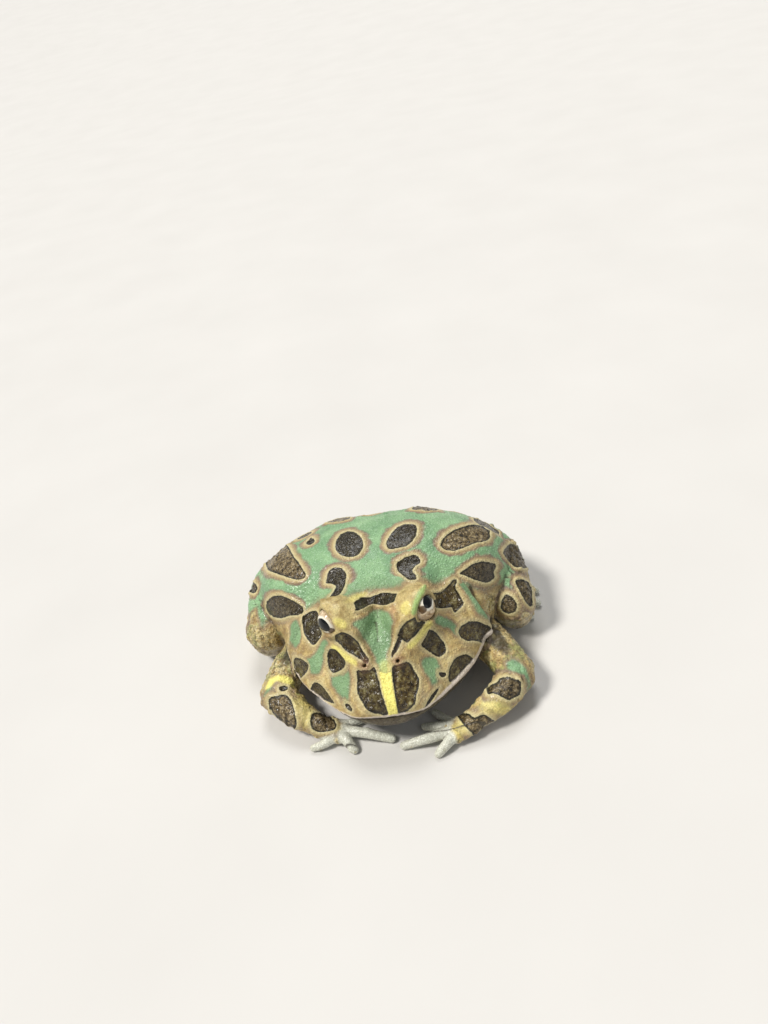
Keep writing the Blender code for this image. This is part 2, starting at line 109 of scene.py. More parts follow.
# Eye, lids, horn, nostril and eardrum of the left side
EYE_CENTRE, EYE_RADIUS = (13.1, -23.8, 33.6), 4.4
GAZE = (0.66, -0.48, 0.58)
FRONT_CORNER, REAR_CORNER, LOWER_MIDDLE = (11.7, -27.9, 33.2), (15.5, -20.3, 34.5), (16.7, -25.2, 31.6)
UPPER_FACING = (0.84, -0.54, 0.04)
LID_CENTRE, LID_AXES = (12.0, -23.2, 32.8), (6.2, 7.2, 6.4)
BROW_CENTRE, BROW_AXES = (8.8, -21.6, 30.8), (7.6, 9.6, 6.2)
LOWER_RADIUS = 5.5
LID_ADVANCE, LOWER_RISE, LID_GAP, EYE_ROOM = 0.7, 0.5, 0.1, 6.6
BROW_BLEND, HORN_BLEND, HOOD_BLEND, RIM_BLEND, EDGE_SOFTNESS = 1.5, 1.3, 1.8, 1.3, 0.5
LID_LINE_HEIGHT, MOUTH_DEPTH, LIP_HEIGHT = 0.22, 1.1, 0.32
HORN = (((12.4, -21.6, 34.6), 4.6, 4.2), ((14.0, -21.6, 37.4), 2.3, 1.9), ((15.2, -21.3, 39.4), 0.8, 0.7))
NOSTRIL, NOSTRIL_FACING = (4.9, -36.4, 26.0), (0.45, -0.62, 0.64)
NOSTRIL_RIM, NOSTRIL_RADIUS, NOSTRIL_DEPTH = 0.45, 0.62, 1.6
TYMPANUM, TYMPANUM_FACING, TYMPANUM_AXES = (28.6, -14.2, 22.6), (0.86, 0.0, 0.51), (3.4, 2.6, 1.6)

# Limbs as place, half width and half thickness from root to end
LIMBS = {
    "left": (
        (((25.0, -9.0, 9.6), 7.2, 6.4), ((33.0, -19.5, 8.8), 6.3, 5.4), ((38.4, -29.0, 7.2), 5.5, 5.2)),
        (((38.2, -31.0, 7.0), 5.5, 5.2), ((31.6, -38.4, 6.2), 4.8, 4.4), ((24.2, -42.8, 4.6), 3.4, 3.1)),
        (((22.8, -43.6, 3.8), 3.7, 2.6), ((17.4, -45.0, 2.5), 4.2, 2.2)),
        (((20.5, 31.5, 14.0), 9.6, 9.2), ((35.6, 14.5, 16.0), 10.0, 9.8), ((41.0, -3.5, 11.6), 7.6, 7.6)),
        (((41.4, -3.0, 7.2), 6.4, 6.4), ((38.6, 14.0, 6.4), 6.4, 6.0), ((31.0, 29.5, 5.0), 4.6, 4.4)),
        (((30.6, 31.0, 3.8), 4.2, 3.6), ((38.4, 25.0, 3.2), 4.0, 2.9), ((43.6, 16.0, 2.4), 4.6, 2.2)),
    ),
    "right": (
        (((-25.0, -7.5, 9.6), 7.2, 6.4), ((-32.4, -16.5, 8.8), 6.3, 5.4), ((-36.6, -24.6, 7.2), 5.5, 5.2)),
        (((-36.8, -26.8, 7.0), 5.5, 5.2), ((-30.6, -33.4, 6.2), 4.8, 4.4), ((-23.6, -38.0, 4.4), 3.4, 3.1)),
        (((-22.2, -38.6, 3.6), 3.7, 2.6), ((-16.8, -40.2, 2.5), 4.2, 2.2)),
        (((-20.5, 32.0, 14.0), 9.6, 9.2), ((-36.4, 15.5, 16.0), 10.2, 10.0), ((-41.4, -1.5, 11.4), 7.6, 7.6)),
        (((-41.8, -1.0, 7.2), 6.4, 6.4), ((-39.0, 16.0, 6.4), 6.4, 6.0), ((-31.4, 31.0, 5.0), 4.6, 4.4)),
        (((-31.0, 32.5, 3.8), 4.2, 3.6), ((-38.8, 26.5, 3.2), 4.0, 2.9), ((-43.8, 18.0, 2.4), 4.6, 2.2)),
    ),
}
LIMB_BLENDS, DIGIT_BLEND, SPADE_BLEND = (1.6, 1.3, 1.2, 1.5, 1.1, 1.1), 0.7, 0.5
FINGERS = {
    "left": (
        ((18.0, -42.6, 2.4), (15.0, -39.6, 2.0), (12.2, -36.4, 1.2), 1.35),
        ((16.6, -43.4, 2.6), (12.8, -42.6, 2.6), (8.8, -41.0, 1.1), 1.45),
        ((15.8, -45.2, 2.6), (9.4, -46.6, 2.9), (2.2, -46.8, 1.1), 1.55),
        ((16.4, -47.2, 2.4), (14.8, -49.2, 2.4), (12.2, -51.0, 1.1), 1.5),
    ),
    "right": (
        ((-16.6, -37.8, 2.4), (-12.8, -36.8, 2.0), (-9.0, -35.0, 1.2), 1.35),
        ((-15.4, -40.0, 2.6), (-8.6, -42.2, 2.9), (-1.4, -43.8, 1.1), 1.55),
        ((-16.0, -42.0, 2.6), (-14.6, -44.0, 2.5), (-12.8, -46.2, 1.1), 1.55),
        ((-18.6, -41.8, 2.4), (-21.8, -43.4, 2.0), (-25.4, -43.8, 1.1), 1.35),
    ),
}
FINGER_SWELL, TOE_SWELL = (1.12, 1.0, 0.82), (1.25, 1.05, 0.82)
TOE_TIPS = {
    "left": ((39.6, 8.0), (42.4, 3.4), (46.8, -1.4), (50.0, 4.2), (50.6, 10.4)),
    "right": ((-40.0, 10.0), (-42.8, 5.6), (-47.2, 0.8), (-50.2, 6.2), (-50.8, 12.4)),
}
TOE_RADII, TOE_HEIGHT = (1.4, 1.4, 1.5, 1.5, 1.35), 1.2
WEB_SHARE, WEB_NOTCH, WEB_THICKNESS = 0.62, 0.08, 0.9
SPADE_OFFSET, SPADE_AXES = (-4.6, 1.5, -0.6), (1.5, 2.6, 1.3)

# Dark markings: how brown the interior is, and the outline as x, y, x, y and so on in the picture
MARKS = {
    "back_round": (0.1, (
        348.5, 531.3, 355.2, 532.9, 360.2, 536.7, 363.1, 542.5, 362.7, 549.2, 359.3, 554.2, 352.7, 557.1,
        345.2, 556.7, 338.5, 553.3, 335.6, 547.5, 336.8, 540, 341, 534.2)),
    "back_oval": (0.1, (
        405.8, 524.2, 412.5, 524.2, 416.7, 526.7, 416.7, 533.3, 414.2, 539.2, 407.5, 545.4, 400, 547.5,
        390.8, 549.2, 386.7, 546.7, 386.3, 542.5, 389.2, 535.8, 395, 529.2, 400, 525.8)),
    "back_large": (1.0, (
        440.8, 543.3, 444.2, 537.5, 450.8, 531.7, 459.2, 527.9, 468.3, 525.8, 478.3, 525, 485, 528.3,
        489.2, 533.3, 489.2, 538.3, 484.2, 541.7, 475.8, 543.3, 466.7, 546.7, 458.3, 550, 450.8, 550.8,
        444.2, 549.2, 441.3, 546.3)),
    "back_dot": (0.1, (
        305.6, 542.5, 308.5, 539.6, 311, 537.5, 314.3, 539.6, 313.9, 542.1, 310.2, 544.6, 306.8, 544.2)),
    "shoulder_triangle": (1.0, (
        287.3, 545.4, 292.7, 554.2, 298.5, 562.5, 305.2, 573.3, 304.3, 577.5, 297.7, 579.6, 287.7, 577.5,
        276, 573.3, 269.3, 570.8, 266, 565, 267.3, 557.5, 272.7, 550, 279.3, 545.8)),
    "comma_left": (0.1, (
        338.5, 567.5, 343.5, 569.6, 346.4, 575, 345.6, 582.5, 342.7, 590, 338.5, 595, 331.8, 598.8,
        329.8, 597.1, 334.3, 590.8, 336, 586.7, 331.8, 584.2, 326.8, 583.3, 326.8, 576.7, 329.3, 570.8,
        333.5, 567.9)),
    "comma_right": (0.1, (
        396.7, 563.3, 401.7, 559.2, 409.2, 555.4, 415.8, 555, 420, 559.2, 420, 563.3, 415.8, 565.8,
        412.5, 570.8, 415.8, 575, 415.8, 579.2, 409.2, 579.6, 402.5, 575, 397.5, 570)),
    "side_right": (0.35, (
        460, 573.3, 466.7, 568.3, 474.2, 563.3, 483.3, 561.7, 494.2, 563.3, 496.7, 566.7, 494.2, 572.5,
        495, 577.5, 488.3, 582.5, 480, 581.7, 470.8, 578.3, 463.3, 575)),
    "side_left": (0.35, (
        266.4, 607.5, 267.7, 601.7, 271.8, 597.1, 279.3, 595.4, 286, 597.1, 292.7, 600.4, 299.3, 604.2,
        303.5, 608.3, 301.8, 614.2, 290.2, 615.8, 281, 618.3, 273.5, 616.7, 268.5, 612.5)),
    "left_edge": (0.3, (
        248.5, 583.3, 254.3, 582.5, 257.7, 587.5, 255.2, 592.5, 251, 592.5)),
    "crown_bar": (0.2, (
        344.6, 606.7, 350.8, 605, 356.7, 600.4, 362.5, 597.1, 370, 597.1, 377.5, 594.2, 383.3, 592.5,
        390, 592.9, 395, 593.3, 397.5, 594.2, 396.7, 600, 390.8, 603.8, 384.2, 605.8, 375.8, 604.6,
        368.3, 605.8, 361.7, 609.6, 353.3, 611.7, 347.5, 609.2)),
    "behind_left_eye": (0.7, (
        431, 593.5, 440, 591.7, 445.8, 587.5, 452.5, 580.8, 456.7, 580.4, 454.2, 588.3, 457.5, 594.2,
        461.7, 600, 463.3, 604.2, 458.3, 610, 455, 612.5, 452.5, 609.2, 450.8, 607.5, 443.3, 608.3,
        435.8, 607.2, 432, 600)),
    "behind_right_eye": (0.3, (
        304, 617, 309, 612, 316, 611, 319, 617, 319, 626, 322, 633, 319, 640, 313, 645, 306.5, 638,
        303, 630)),
    "cheek_round": (0.7, (
        458.6, 630.9, 461.8, 625.5, 469.1, 621.8, 476.4, 621.4, 483.6, 625.5, 487.7, 632.7, 486.4, 640,
        482.7, 642.7, 476.4, 640.9, 467.3, 640.9, 461.8, 638.2, 459.1, 634.5)),
    "cheek_mid": (0.5, (
        429.1, 630, 433.6, 630.9, 439.1, 635.5, 443.6, 641.8, 446.4, 650, 442.7, 655.5, 438.2, 656.8,
        433.6, 654.5, 428.2, 650.9, 421.8, 645.5, 422.7, 641.8, 426.4, 635.5)),
    "lore_left": (0.8, (
        417.3, 616.4, 412.7, 618.2, 407.3, 620.9, 402.7, 625.5, 399.1, 631.8, 398.6, 636.4, 401.8, 639.1,
        406.4, 642.7, 409, 641.8, 414.4, 636.8, 418.9, 631.3, 423.5, 625.5, 425.5, 621.8, 420.9, 620)),
    "canthus_left": (0.3, (
        398.6, 636.4, 401.8, 639.1, 398.2, 649.1, 392.7, 657.3, 391.8, 655.5, 396.4, 643.6)),
    "front_left": (1.0, (
        392.3, 667.3, 398.2, 664.5, 406.4, 661.8, 410.9, 664.5, 415.5, 671.8, 419.1, 679.1, 419.1, 686.4,
        416.4, 694.5, 415.5, 702.7, 410, 709.1, 403.6, 713.6, 398.2, 713.6, 396.4, 705.5, 394.5, 692.7,
        392.7, 680)),
    "lip_left": (0.6, (
        449.1, 681.8, 449.1, 670.9, 452.7, 661.8, 458.2, 656.4, 465.5, 654.5, 470.9, 656.4, 473.6, 660,
        466.4, 667.3, 460, 675.5, 454.5, 680.9)),
    "cheek_dot": (0.2, (
        439.1, 672.7, 445.5, 672.7, 446.4, 675.5, 441.8, 677.3)),
    "lip_break_left": (0.2, (
        434.5, 691.8, 440, 686.4, 435.5, 695.5, 427.3, 706.4, 424.5, 707.3, 429.1, 699.1)),
    "lore_right": (0.7, (
        336, 634.5, 341, 632.5, 347, 633, 352, 636, 358, 642, 362, 650, 366, 656, 369, 661, 366, 664,
        360, 659, 352, 654.5, 345, 650, 339, 644, 335.5, 641, 335, 638)),
    "cheek_right": (0.5, (
        330, 648.8, 335.8, 650, 340.8, 655, 345.4, 661.7, 344.2, 667.5, 339.2, 670.8, 333.3, 672.9,
        330, 670, 327.5, 663.3, 327.1, 657.5, 327.9, 651.7)),
    "front_right": (0.7, (
        356.7, 671.3, 363.3, 670, 370, 670, 373.8, 666.7, 376.7, 672.5, 379.2, 682.5, 381.7, 692.5,
        385, 703.3, 388.3, 714.2, 382.5, 715.4, 374.2, 713.3, 367.5, 710, 362.5, 703.3, 358.3, 695.8,
        356.7, 688.3, 357.1, 680)),
    "rear_right": (0.5, (
        293.8, 658.8, 299.2, 658.3, 304.2, 660.8, 308.3, 665, 307.5, 670.8, 303.3, 675.8, 298.3, 679.2,
        295.8, 675, 294.2, 668.3)),
    "lip_right": (0.5, (
        310.8, 687.5, 313.3, 682.9, 318.3, 682.9, 323.3, 687.5, 328.3, 694.2, 334.2, 703.3, 328.3, 701.7,
        320, 698.3, 313.3, 694.2, 310.8, 690.8)),
    "lip_break_right": (0.3, (
        345, 704, 349, 704.5, 352, 709, 350.8, 711.5, 346.5, 708.5)),
    "thigh_upper": (0.4, (
        503.3, 551.7, 507.5, 545.8, 512.5, 544.2, 521.7, 551.7, 527.5, 560, 528.3, 566.7, 521.7, 568.3,
        513.3, 565.8, 506.7, 559.2, 504.2, 555)),
    "thigh_lower": (0.5, (
        515.8, 580.8, 526.7, 580.8, 530.8, 587.5, 532.5, 595.8, 531.7, 605.8, 528.3, 605, 521.7, 595.8,
        517.5, 587.5)),
    "flank": (0.7, (
        505, 595, 511.7, 596.7, 516.7, 604.2, 515, 611.7, 506.7, 613.3, 500.8, 606.7)),
    "forearm_left": (0.8, (
        493.6, 683.6, 500.9, 678.2, 509.1, 677.3, 518.2, 680.9, 520.9, 686.4, 519.1, 694.5, 509.1, 700,
        500.9, 696.4, 493.6, 693.6, 487.3, 693.6, 487.3, 687.3)),
    "wrist_left": (0.9, (
        457, 714, 468, 713.5, 474.5, 717.3, 483.6, 714.5, 493.6, 720, 495.5, 725.5, 490.9, 732.7,
        480, 738.2, 470.9, 732.7, 463, 724)),
    "elbow_dot": (0.1, (
        279, 687, 283, 685.5, 287.5, 687, 287.5, 690, 284, 691, 280, 690.5)),
    "forearm_right": (1.0, (
        268, 700, 275, 696, 284, 694, 290, 699, 294, 708, 296, 718, 296, 728, 288, 727, 279, 720, 272, 711)),
    "wrist_right": (0.9, (
        313, 713, 321, 713, 330, 717, 336, 723, 335, 729, 325, 732, 315, 731, 310, 722)),
}

# Outlines of the teal patches, of the teal ground of the back, of yellow places with how strong the
# yellow is, and of the green on the left upper lid
TEALS = (
    (366.7, 616.7, 374.2, 610.8, 385, 611.7, 389.2, 615, 391.7, 621.7, 390.8, 630, 390.8, 640, 390, 649.2,
     389.2, 657.5, 390, 667.5, 390, 672.5, 385.8, 672.5, 381.7, 671.7, 377.5, 663.3, 375.8, 656.7,
     372.5, 650.8, 368.3, 643.3, 363.3, 636.7, 358.3, 628.3, 354.2, 625.8, 353.3, 623.3, 360, 620.8),
    (435.5, 619.1, 440, 616.4, 449.1, 620.9, 455.5, 625.5, 459.1, 630.9, 458.2, 634.5, 454.5, 633.6,
     449.1, 627.3, 441.8, 625.5, 436.4, 622.7),
    (423.6, 660, 430.9, 657.3, 436.4, 659.1, 439.1, 667.3, 439.1, 676.4, 436.4, 684.5, 433.6, 686.4,
     430, 678.2, 425.5, 670.9, 422.7, 664.5),
    (333.3, 673.3, 340.8, 671.7, 347.5, 670.8, 349.2, 680, 348.3, 692.5, 347.5, 702.5, 345, 703.3,
     341.7, 696.7, 336.7, 690.8, 332.5, 683.3),
    (324.2, 640, 327.5, 643.3, 326.7, 649.2, 325, 655, 321.7, 663.3, 320, 670, 316.7, 673.3, 310, 671.7,
     308.3, 665, 305.8, 660.8, 311.7, 657.5, 317.5, 651.7, 320, 645),
    (290.8, 626.7, 295, 620.8, 299.2, 623.3, 300.8, 631.7, 299.2, 641.7, 295, 646.7, 291.7, 638.3),
    (458, 584, 463, 583, 469, 590, 476, 600, 482, 610, 489, 618, 486, 623, 478, 616, 470, 604, 464, 595),
    (504, 580, 511, 579, 516, 587, 516, 594, 508, 592),
    (507, 664, 514, 660, 524, 668, 529, 680, 527, 690, 519, 676, 510, 671),
    (264, 698, 268, 687, 276, 681.5, 286, 684, 290, 690, 282, 691, 274, 695, 268, 701),
)
BACK_GROUND = (
    246, 571, 249, 590, 255, 600, 258, 615, 262, 628, 268, 622, 285, 620, 305, 612, 318, 603, 325, 601,
    335, 601, 343, 602, 352, 596, 365, 592, 380, 590, 397, 588, 404, 583, 414, 577, 426, 581, 436, 585,
    447, 580, 456, 577, 461, 583, 480, 590, 497, 586, 515, 575, 530, 560, 500, 520, 470, 500, 400, 500,
    340, 505, 300, 525, 262, 550,
)
YELLOWS = {
    "snout_stripe": (1.0, (
        379.5, 672, 385, 673, 391.9, 672.5, 391.7, 679.2, 394.2, 692.5, 396.7, 705, 397.5, 713.3,
        388.5, 714.2, 385.8, 701.7, 382.5, 690.8, 380.8, 680)),
    "stripe_top": (0.4, (380, 664, 385.5, 660, 391, 664, 391.5, 674, 384, 675, 380, 672)),
    "crown_rim": (0.5, (343, 603, 348, 598, 357, 594, 366, 592, 366, 595, 358, 599, 350, 603.5)),
    "left_lid_end": (0.7, (400, 606, 406, 600, 411, 603, 411, 611, 406, 616, 401, 613)),
    "right_lid_end": (0.75, (334, 618, 341, 618, 347, 623, 345, 629, 338, 628, 333, 623)),
    "lore_stripe_left": (0.7, (
        423, 627, 429, 621, 433, 624, 428, 630, 420, 640, 412, 648, 407, 646, 415, 638)),
    "lore_stripe_right": (0.7, (
        333, 645, 340, 648, 349, 655, 356, 660, 356, 665, 348, 662, 339, 655, 332, 649)),
    "elbow_rim": (0.9, (
        265, 689, 270, 679, 281, 675.5, 292, 679, 294, 687, 288, 684.5, 277, 681, 270, 687)),
    "arm_band_left": (0.35, (478, 706, 490, 700, 503, 702, 512, 708, 505, 716, 493, 714, 483, 712)),
    "arm_band_right": (0.3, (293, 700, 302, 698, 313, 708, 310, 722, 304, 728, 298, 714)),
    "palm_left": (0.35, (455, 723, 465, 722, 466, 732, 456, 738, 448, 732)),
    "palm_right": (0.35, (340, 726, 350, 722, 356, 729, 349, 737, 340, 733)),
}
LID_GREEN = (418, 592, 425, 583, 427, 586, 421, 600, 416, 614, 411, 613, 413, 601)

# Places where the picture shows the tan broken up by dark and cream specks
SPECKLED = (
    (484, 590, 496, 594, 512, 577, 534, 590, 536, 640, 505, 640, 492, 628),
    (248, 612, 262, 628, 285, 642, 291, 665, 300, 690, 280, 690, 255, 660),
)

# Ridges and creases as lines in the picture: height, half width, points
FOLDS = (
    (1.9, 1.7, (449, 583, 458, 589, 468, 599, 477, 611, 484, 622, 487, 632)),
    (-1.3, 1.0, (472, 588, 478, 600, 486, 612, 491, 626)),
    (0.8, 1.1, (303, 618, 297, 628, 292, 640, 291, 652)),
    (0.75, 1.0, (402, 620, 398, 630, 395, 641, 393, 652)),
    (0.75, 1.0, (344, 627, 353, 634, 361, 645, 368, 658)),
    (0.5, 0.8, (354, 611, 362, 608, 372, 606, 382, 607, 394, 604)),
    (-0.35, 0.6, (376, 623, 377, 630, 378, 641)),
    (0.4, 0.9, (497, 561, 505, 569, 512, 577, 522, 579)),
    (0.5, 1.0, (489, 532, 497, 538, 505, 543, 515, 545)),
    (0.3, 0.8, (262, 570, 276, 576, 292, 582, 306, 583)),
)

# Grid of the field: fine over the head and hands, wider behind them. The field keeps distances up to FAR,
# and the skin ends at FLOOR.
X_STOPS = ((0.0, 31.0, 0.3), (31.0, 55.5, 0.42))
Y_STOPS = ((-54.5, -9.0, 0.32), (-9.0, 48.5, 0.46))
Z_STOPS = ((-1.6, 43.0, 0.32),)
FAR = 8.0
FLOOR = 0.02

# Skin: rounds of smoothing and pulling back to the shape, extra passes at the trunk's two ends, passes for
# the normals that outlines use, for creases and for the even surface, and how far the relief may stand off
# that surface low on the head and elsewhere
ROUNDS, ROUND_PASSES, ROUND_PULL = 3, 2, 0.3
END_PASSES, NORMAL_PASSES, CREASE_PASSES, EVEN_PASSES = 24, 8, 6, 4
MOST_RISE = (0.2, 0.5)
SLOPE_STEP = 0.25

# Outlines: points from each corner to the next, and how far beyond an outline its distance is known
CURVE_STEPS, OUTLINE_REACH = 5, 4.0

# Spots beyond the picture: tries, least and greatest radius, how much smaller they are low down, what counts
# as hidden, gaps to markings and to each other, and how far their edges wander
EXTRA_TRIES, EXTRA_RADII, EXTRA_SMALL, HIDDEN_FACING = 900, (2.6, 5.2), 0.72, 0.22
MARK_GAP, EXTRA_GAP, EXTRA_WANDER = 2.6, 3.2, 0.28
SEED = 41

# Heights of the fine relief, and how full its grains are
GRAIN_HEIGHT, FINE_HEIGHT, WART_HEIGHT, SWELL_HEIGHT, RIM_HEIGHT = 0.15, 0.07, 0.35, 0.30, 0.20
MARK_DEPTH, BAND_HEIGHT, SPIKE_HEIGHT, WRINKLE_HEIGHT, CREASE_DEPTH = 0.12, 0.55, 0.75, 0.45, 0.2
GRAIN_FULLNESS = 1.6

# Pupils as outlines in the picture, the middle of the brown blotch beside each, and the globes' shape
PUPILS = {
    1: (
        428, 594, 431, 596.7, 432, 601.3, 431.3, 606, 428.7, 608.3, 425.7, 608, 423.7, 605.3, 422.8, 601.3,
        423.7, 597, 425.7, 594.6),
    -1: (
        318.2, 619.6, 321, 618.3, 324, 619.7, 327, 622.7, 329.2, 626.7, 329.2, 630, 326.8, 631.4,
        323.4, 630.8, 320.4, 628.7, 318.2, 625.3, 317.6, 622),
}
BLOTCHES = {1: (422.7, 610), -1: (331.6, 631.4)}
PUPIL_AXIS = (0.15, -0.67, -0.73)
EYE_RINGS, EYE_SEGMENTS = 96, 128
CORNEA_HEIGHT, CORNEA_TILT, CORNEA_SEEN = 0.18, 0.75, 0.15

# Sockets of a colour Mix node
MIX_FIRST, MIX_SECOND, MIX_RESULT = 6, 7, 2

# The floor's grid lines, how far out it stays flat, and how steeply it rises from there
FLOOR_LINES = (-9000, -5000, -3000, -1500, -700, 700, 1500, 3000, 5000, 9000)
FLOOR_FLAT, FLOOR_RISE = 2200, 0.15

# Light: the world, and the lamps' places in metres, widths, strengths and colours
WORLD_COLOUR, WORLD_STRENGTH = (0.95, 0.98, 1.0, 1.0), 0.24
LAMPS = {
    "key": ((-0.34, -0.10, 0.58), 0.26, 3.0, (1.0, 0.97, 0.92)),
    "top": ((0.02, 0.36, 0.60), 0.45, 1.35, (1.0, 1.0, 1.0)),
    "fill": ((0.5, -0.42, 0.34), 0.70, 0.3, (0.95, 0.98, 1.0)),
}


def between(places, rows, at):
    """A smooth curve through rows of numbers that stand at the given places, for many places at once."""
    places, rows, at = (np.asarray(part, float) for part in (places, rows, at))
    first = np.clip(np.searchsorted(places, at) - 1, 0, len(places) - 2)
    before, after = np.maximum(first - 1, 0), np.minimum(first + 2, len(places) - 1)
    span = (places[first + 1] - places[first])[:, None]
    t = np.clip((at - places[first])[:, None] / span, 0.0, 1.0)
    p0, p1, p2, p3 = rows[before], rows[first], rows[first + 1], rows[after]
    slope_in = (p2 - p0) / (places[first + 1] - places[before])[:, None] * span
    slope_out = (p3 - p1) / (places[after] - places[first])[:, None] * span
    return (
        p1 * (2 * t**3 - 3 * t**2 + 1)
        + slope_in * (t**3 - 2 * t**2 + t)
        + p2 * (3 * t**2 - 2 * t**3)
        + slope_out * (t**3 - t**2)
    )


def smooth(value, low, high):
    """0 below low, 1 above high and a soft step between."""
    t = np.clip((value - low) / (high - low), 0.0, 1.0)
    return t * t * (3 - 2 * t)


def bell(value, width):
    """1 where the value is 0, falling off on both sides over the width."""
    return np.exp(-((value / width) ** 2))


def unit(vector):
    vector = np.asarray(vector, float)
    return vector / np.linalg.norm(vector)


def mirrored(place, side):
    return np.array((place[0] * side, place[1], place[2]), float)


def union(field, other, reach):
    """The nearer of two surfaces, with the crease between them filled over the given reach."""
    share = np.clip(0.5 + 0.5 * (field - other) / reach, 0.0, 1.0)
    return field * (1 - share) + other * share - reach * share * (1 - share)


def cut(field, other, reach):
    """What of the field lies outside the other shape, with a soft edge."""
    return -union(-field, other, reach)


def axis(stops):
    return np.concatenate([np.arange(start, stop, step) for start, stop, step in stops]).astype(np.float32)


# Shapes. Each takes coordinates that broadcast together and gives a distance, negative inside.


def trunk_rows(y):
    """Half width, top, base, mouth level, squareness above and squareness below, each for every y."""
    share = np.clip((y - SNOUT_Y) / SNOUT_VENT, 0.0, 1.0)
    return between([row[0] for row in TRUNK], [row[1:] for row in TRUNK], share).T


def trunk(x, y, z):
    rows = trunk_rows(y).astype(np.float32)
    half_width, top, base, level, square_up, square_down = (row[None, :, None] for row in rows)
    gx, gy, gz = x[:, None, None], y[None, :, None], z[None, None, :]
    overhang = LIP_OVERHANG * np.clip((NECK_Y - gy) / OVERHANG_FADE, 0.0, 1.0)
    inner = np.maximum(half_width - overhang, half_width / 2)
    width = np.maximum(half_width + (inner - half_width) * smooth(level - gz, 0.0, LIP_SOFTNESS), 0.2)
    below = gz < level
    rise = np.maximum(np.where(below, level - base, top - level), 0.2)
    square = np.where(below, square_down, square_up)
    rho = ((gx / width) ** square + (np.abs(gz - level) / rise) ** square) ** (1 / square)
    rho = np.maximum(rho, 0.02)
    value = np.where(rho < 1, rho - 1, np.log(rho))
    steepness = np.sqrt(sum(slope * slope for slope in np.gradient(value, x, y, z)))
    distance = value / np.maximum(steepness, 0.01)
    distance = np.maximum(distance, np.maximum(SNOUT_Y - gy, gy - SNOUT_Y - SNOUT_VENT))
    near = np.clip((half_width + 1.8 - gx) / 1.5, 0.0, 1.0) * np.clip(half_width / 4.0, 0.0, 1.0)
    return np.clip(distance, -FAR, FAR), level, near


def beyond(places, start, direction):
    """How far places lie beyond a start, along a direction of length 1."""
    return sum((place - origin) * part for place, origin, part in zip(places, start, direction))


def from_ellipsoid(parts, semi_axes, least):
    """Distance to an ellipsoid, from the offsets along its axes. Least is its smallest semi-axis."""
    q = np.sqrt(sum((part / size) ** 2 for part, size in zip(parts, semi_axes)) + 1e-9)
    g = np.sqrt(sum((part / size**2) ** 2 for part, size in zip(parts, semi_axes)) + 1e-9 / least**2)
    return q * (q - 1) / g


def oval(centre, semi_axes, facing=None):
    """An ellipsoid. Its third semi-axis lies along facing, and its first stands as upright as it can."""
    turn = np.eye(3)
    if facing is not None:
        third = unit(facing)
        second = unit(np.cross(third, (0, 0, 1)))
        turn = np.array([np.cross(second, third), second, third])
    centre, semi_axes = np.asarray(centre, float), np.asarray(semi_axes, float)

    def shape(x, y, z):
        parts = [beyond((x, y, z), centre, row) for row in turn]
        return from_ellipsoid(parts, semi_axes, semi_axes.min())

    shape.low, shape.high = centre - semi_axes.max(), centre + semi_axes.max()
    return shape


def tube(stations, steps=8):
    """A limb with round ends through stations of place, half width and half thickness."""
    rows = [(*place, wide, thick) for place, wide, thick in stations]
    rows = between(range(len(rows)), rows, np.linspace(0, len(rows) - 1, steps + 1))

    def shape(x, y, z):
        nearest = FAR
        for start, end in zip(rows, rows[1:]):
            along = end[:3] - start[:3]
            length = np.linalg.norm(along)
            along = along / length
            across = unit(np.cross(along, (0, 0, 1)))
            upward = np.cross(across, along)
            run, aside, above = (beyond((x, y, z), start, way) for way in (along, across, upward))
            t = np.clip(run / length, 0.0, 1.0)
            wide = start[3] + (end[3] - start[3]) * t
            thick = start[4] + (end[4] - start[4]) * t
            least = np.minimum(wide, thick)
            over = run - t * length
            distance = from_ellipsoid((aside, above, over), (wide, thick, least), least)
            nearest = np.minimum(nearest, distance)
        return nearest

    size = rows[:, 3:].max(axis=1)[:, None]
    shape.low, shape.high = (rows[:, :3] - size).min(axis=0), (rows[:, :3] + size).max(axis=0)
    return shape


def digit(joints, radius, swells):
    """A finger or toe through its joints, swollen by a share at each."""
    return tube([(place, radius * swell, radius * swell) for place, swell in zip(joints, swells)], 6)


def outline_distance(points, corners):
    """Signed distance of points on a plane to a closed outline, negative inside."""
    best = np.full(len(points), np.inf)
    inside = np.zeros(len(points), bool)
    for a, b in zip(corners, np.roll(corners, -1, axis=0)):
        edge = b - a
        rel = points - a
        t = np.clip(rel @ edge / max(edge @ edge, 1e-9), 0.0, 1.0)
        best = np.minimum(best, ((rel - t[:, None] * edge) ** 2).sum(axis=1))
        crosses = (a[1] > points[:, 1]) != (b[1] > points[:, 1])
        if a[1] != b[1]:
            inside ^= crosses & (points[:, 0] < a[0] + (points[:, 1] - a[1]) * edge[0] / edge[1])
    return np.where(inside, -1.0, 1.0) * np.sqrt(best)


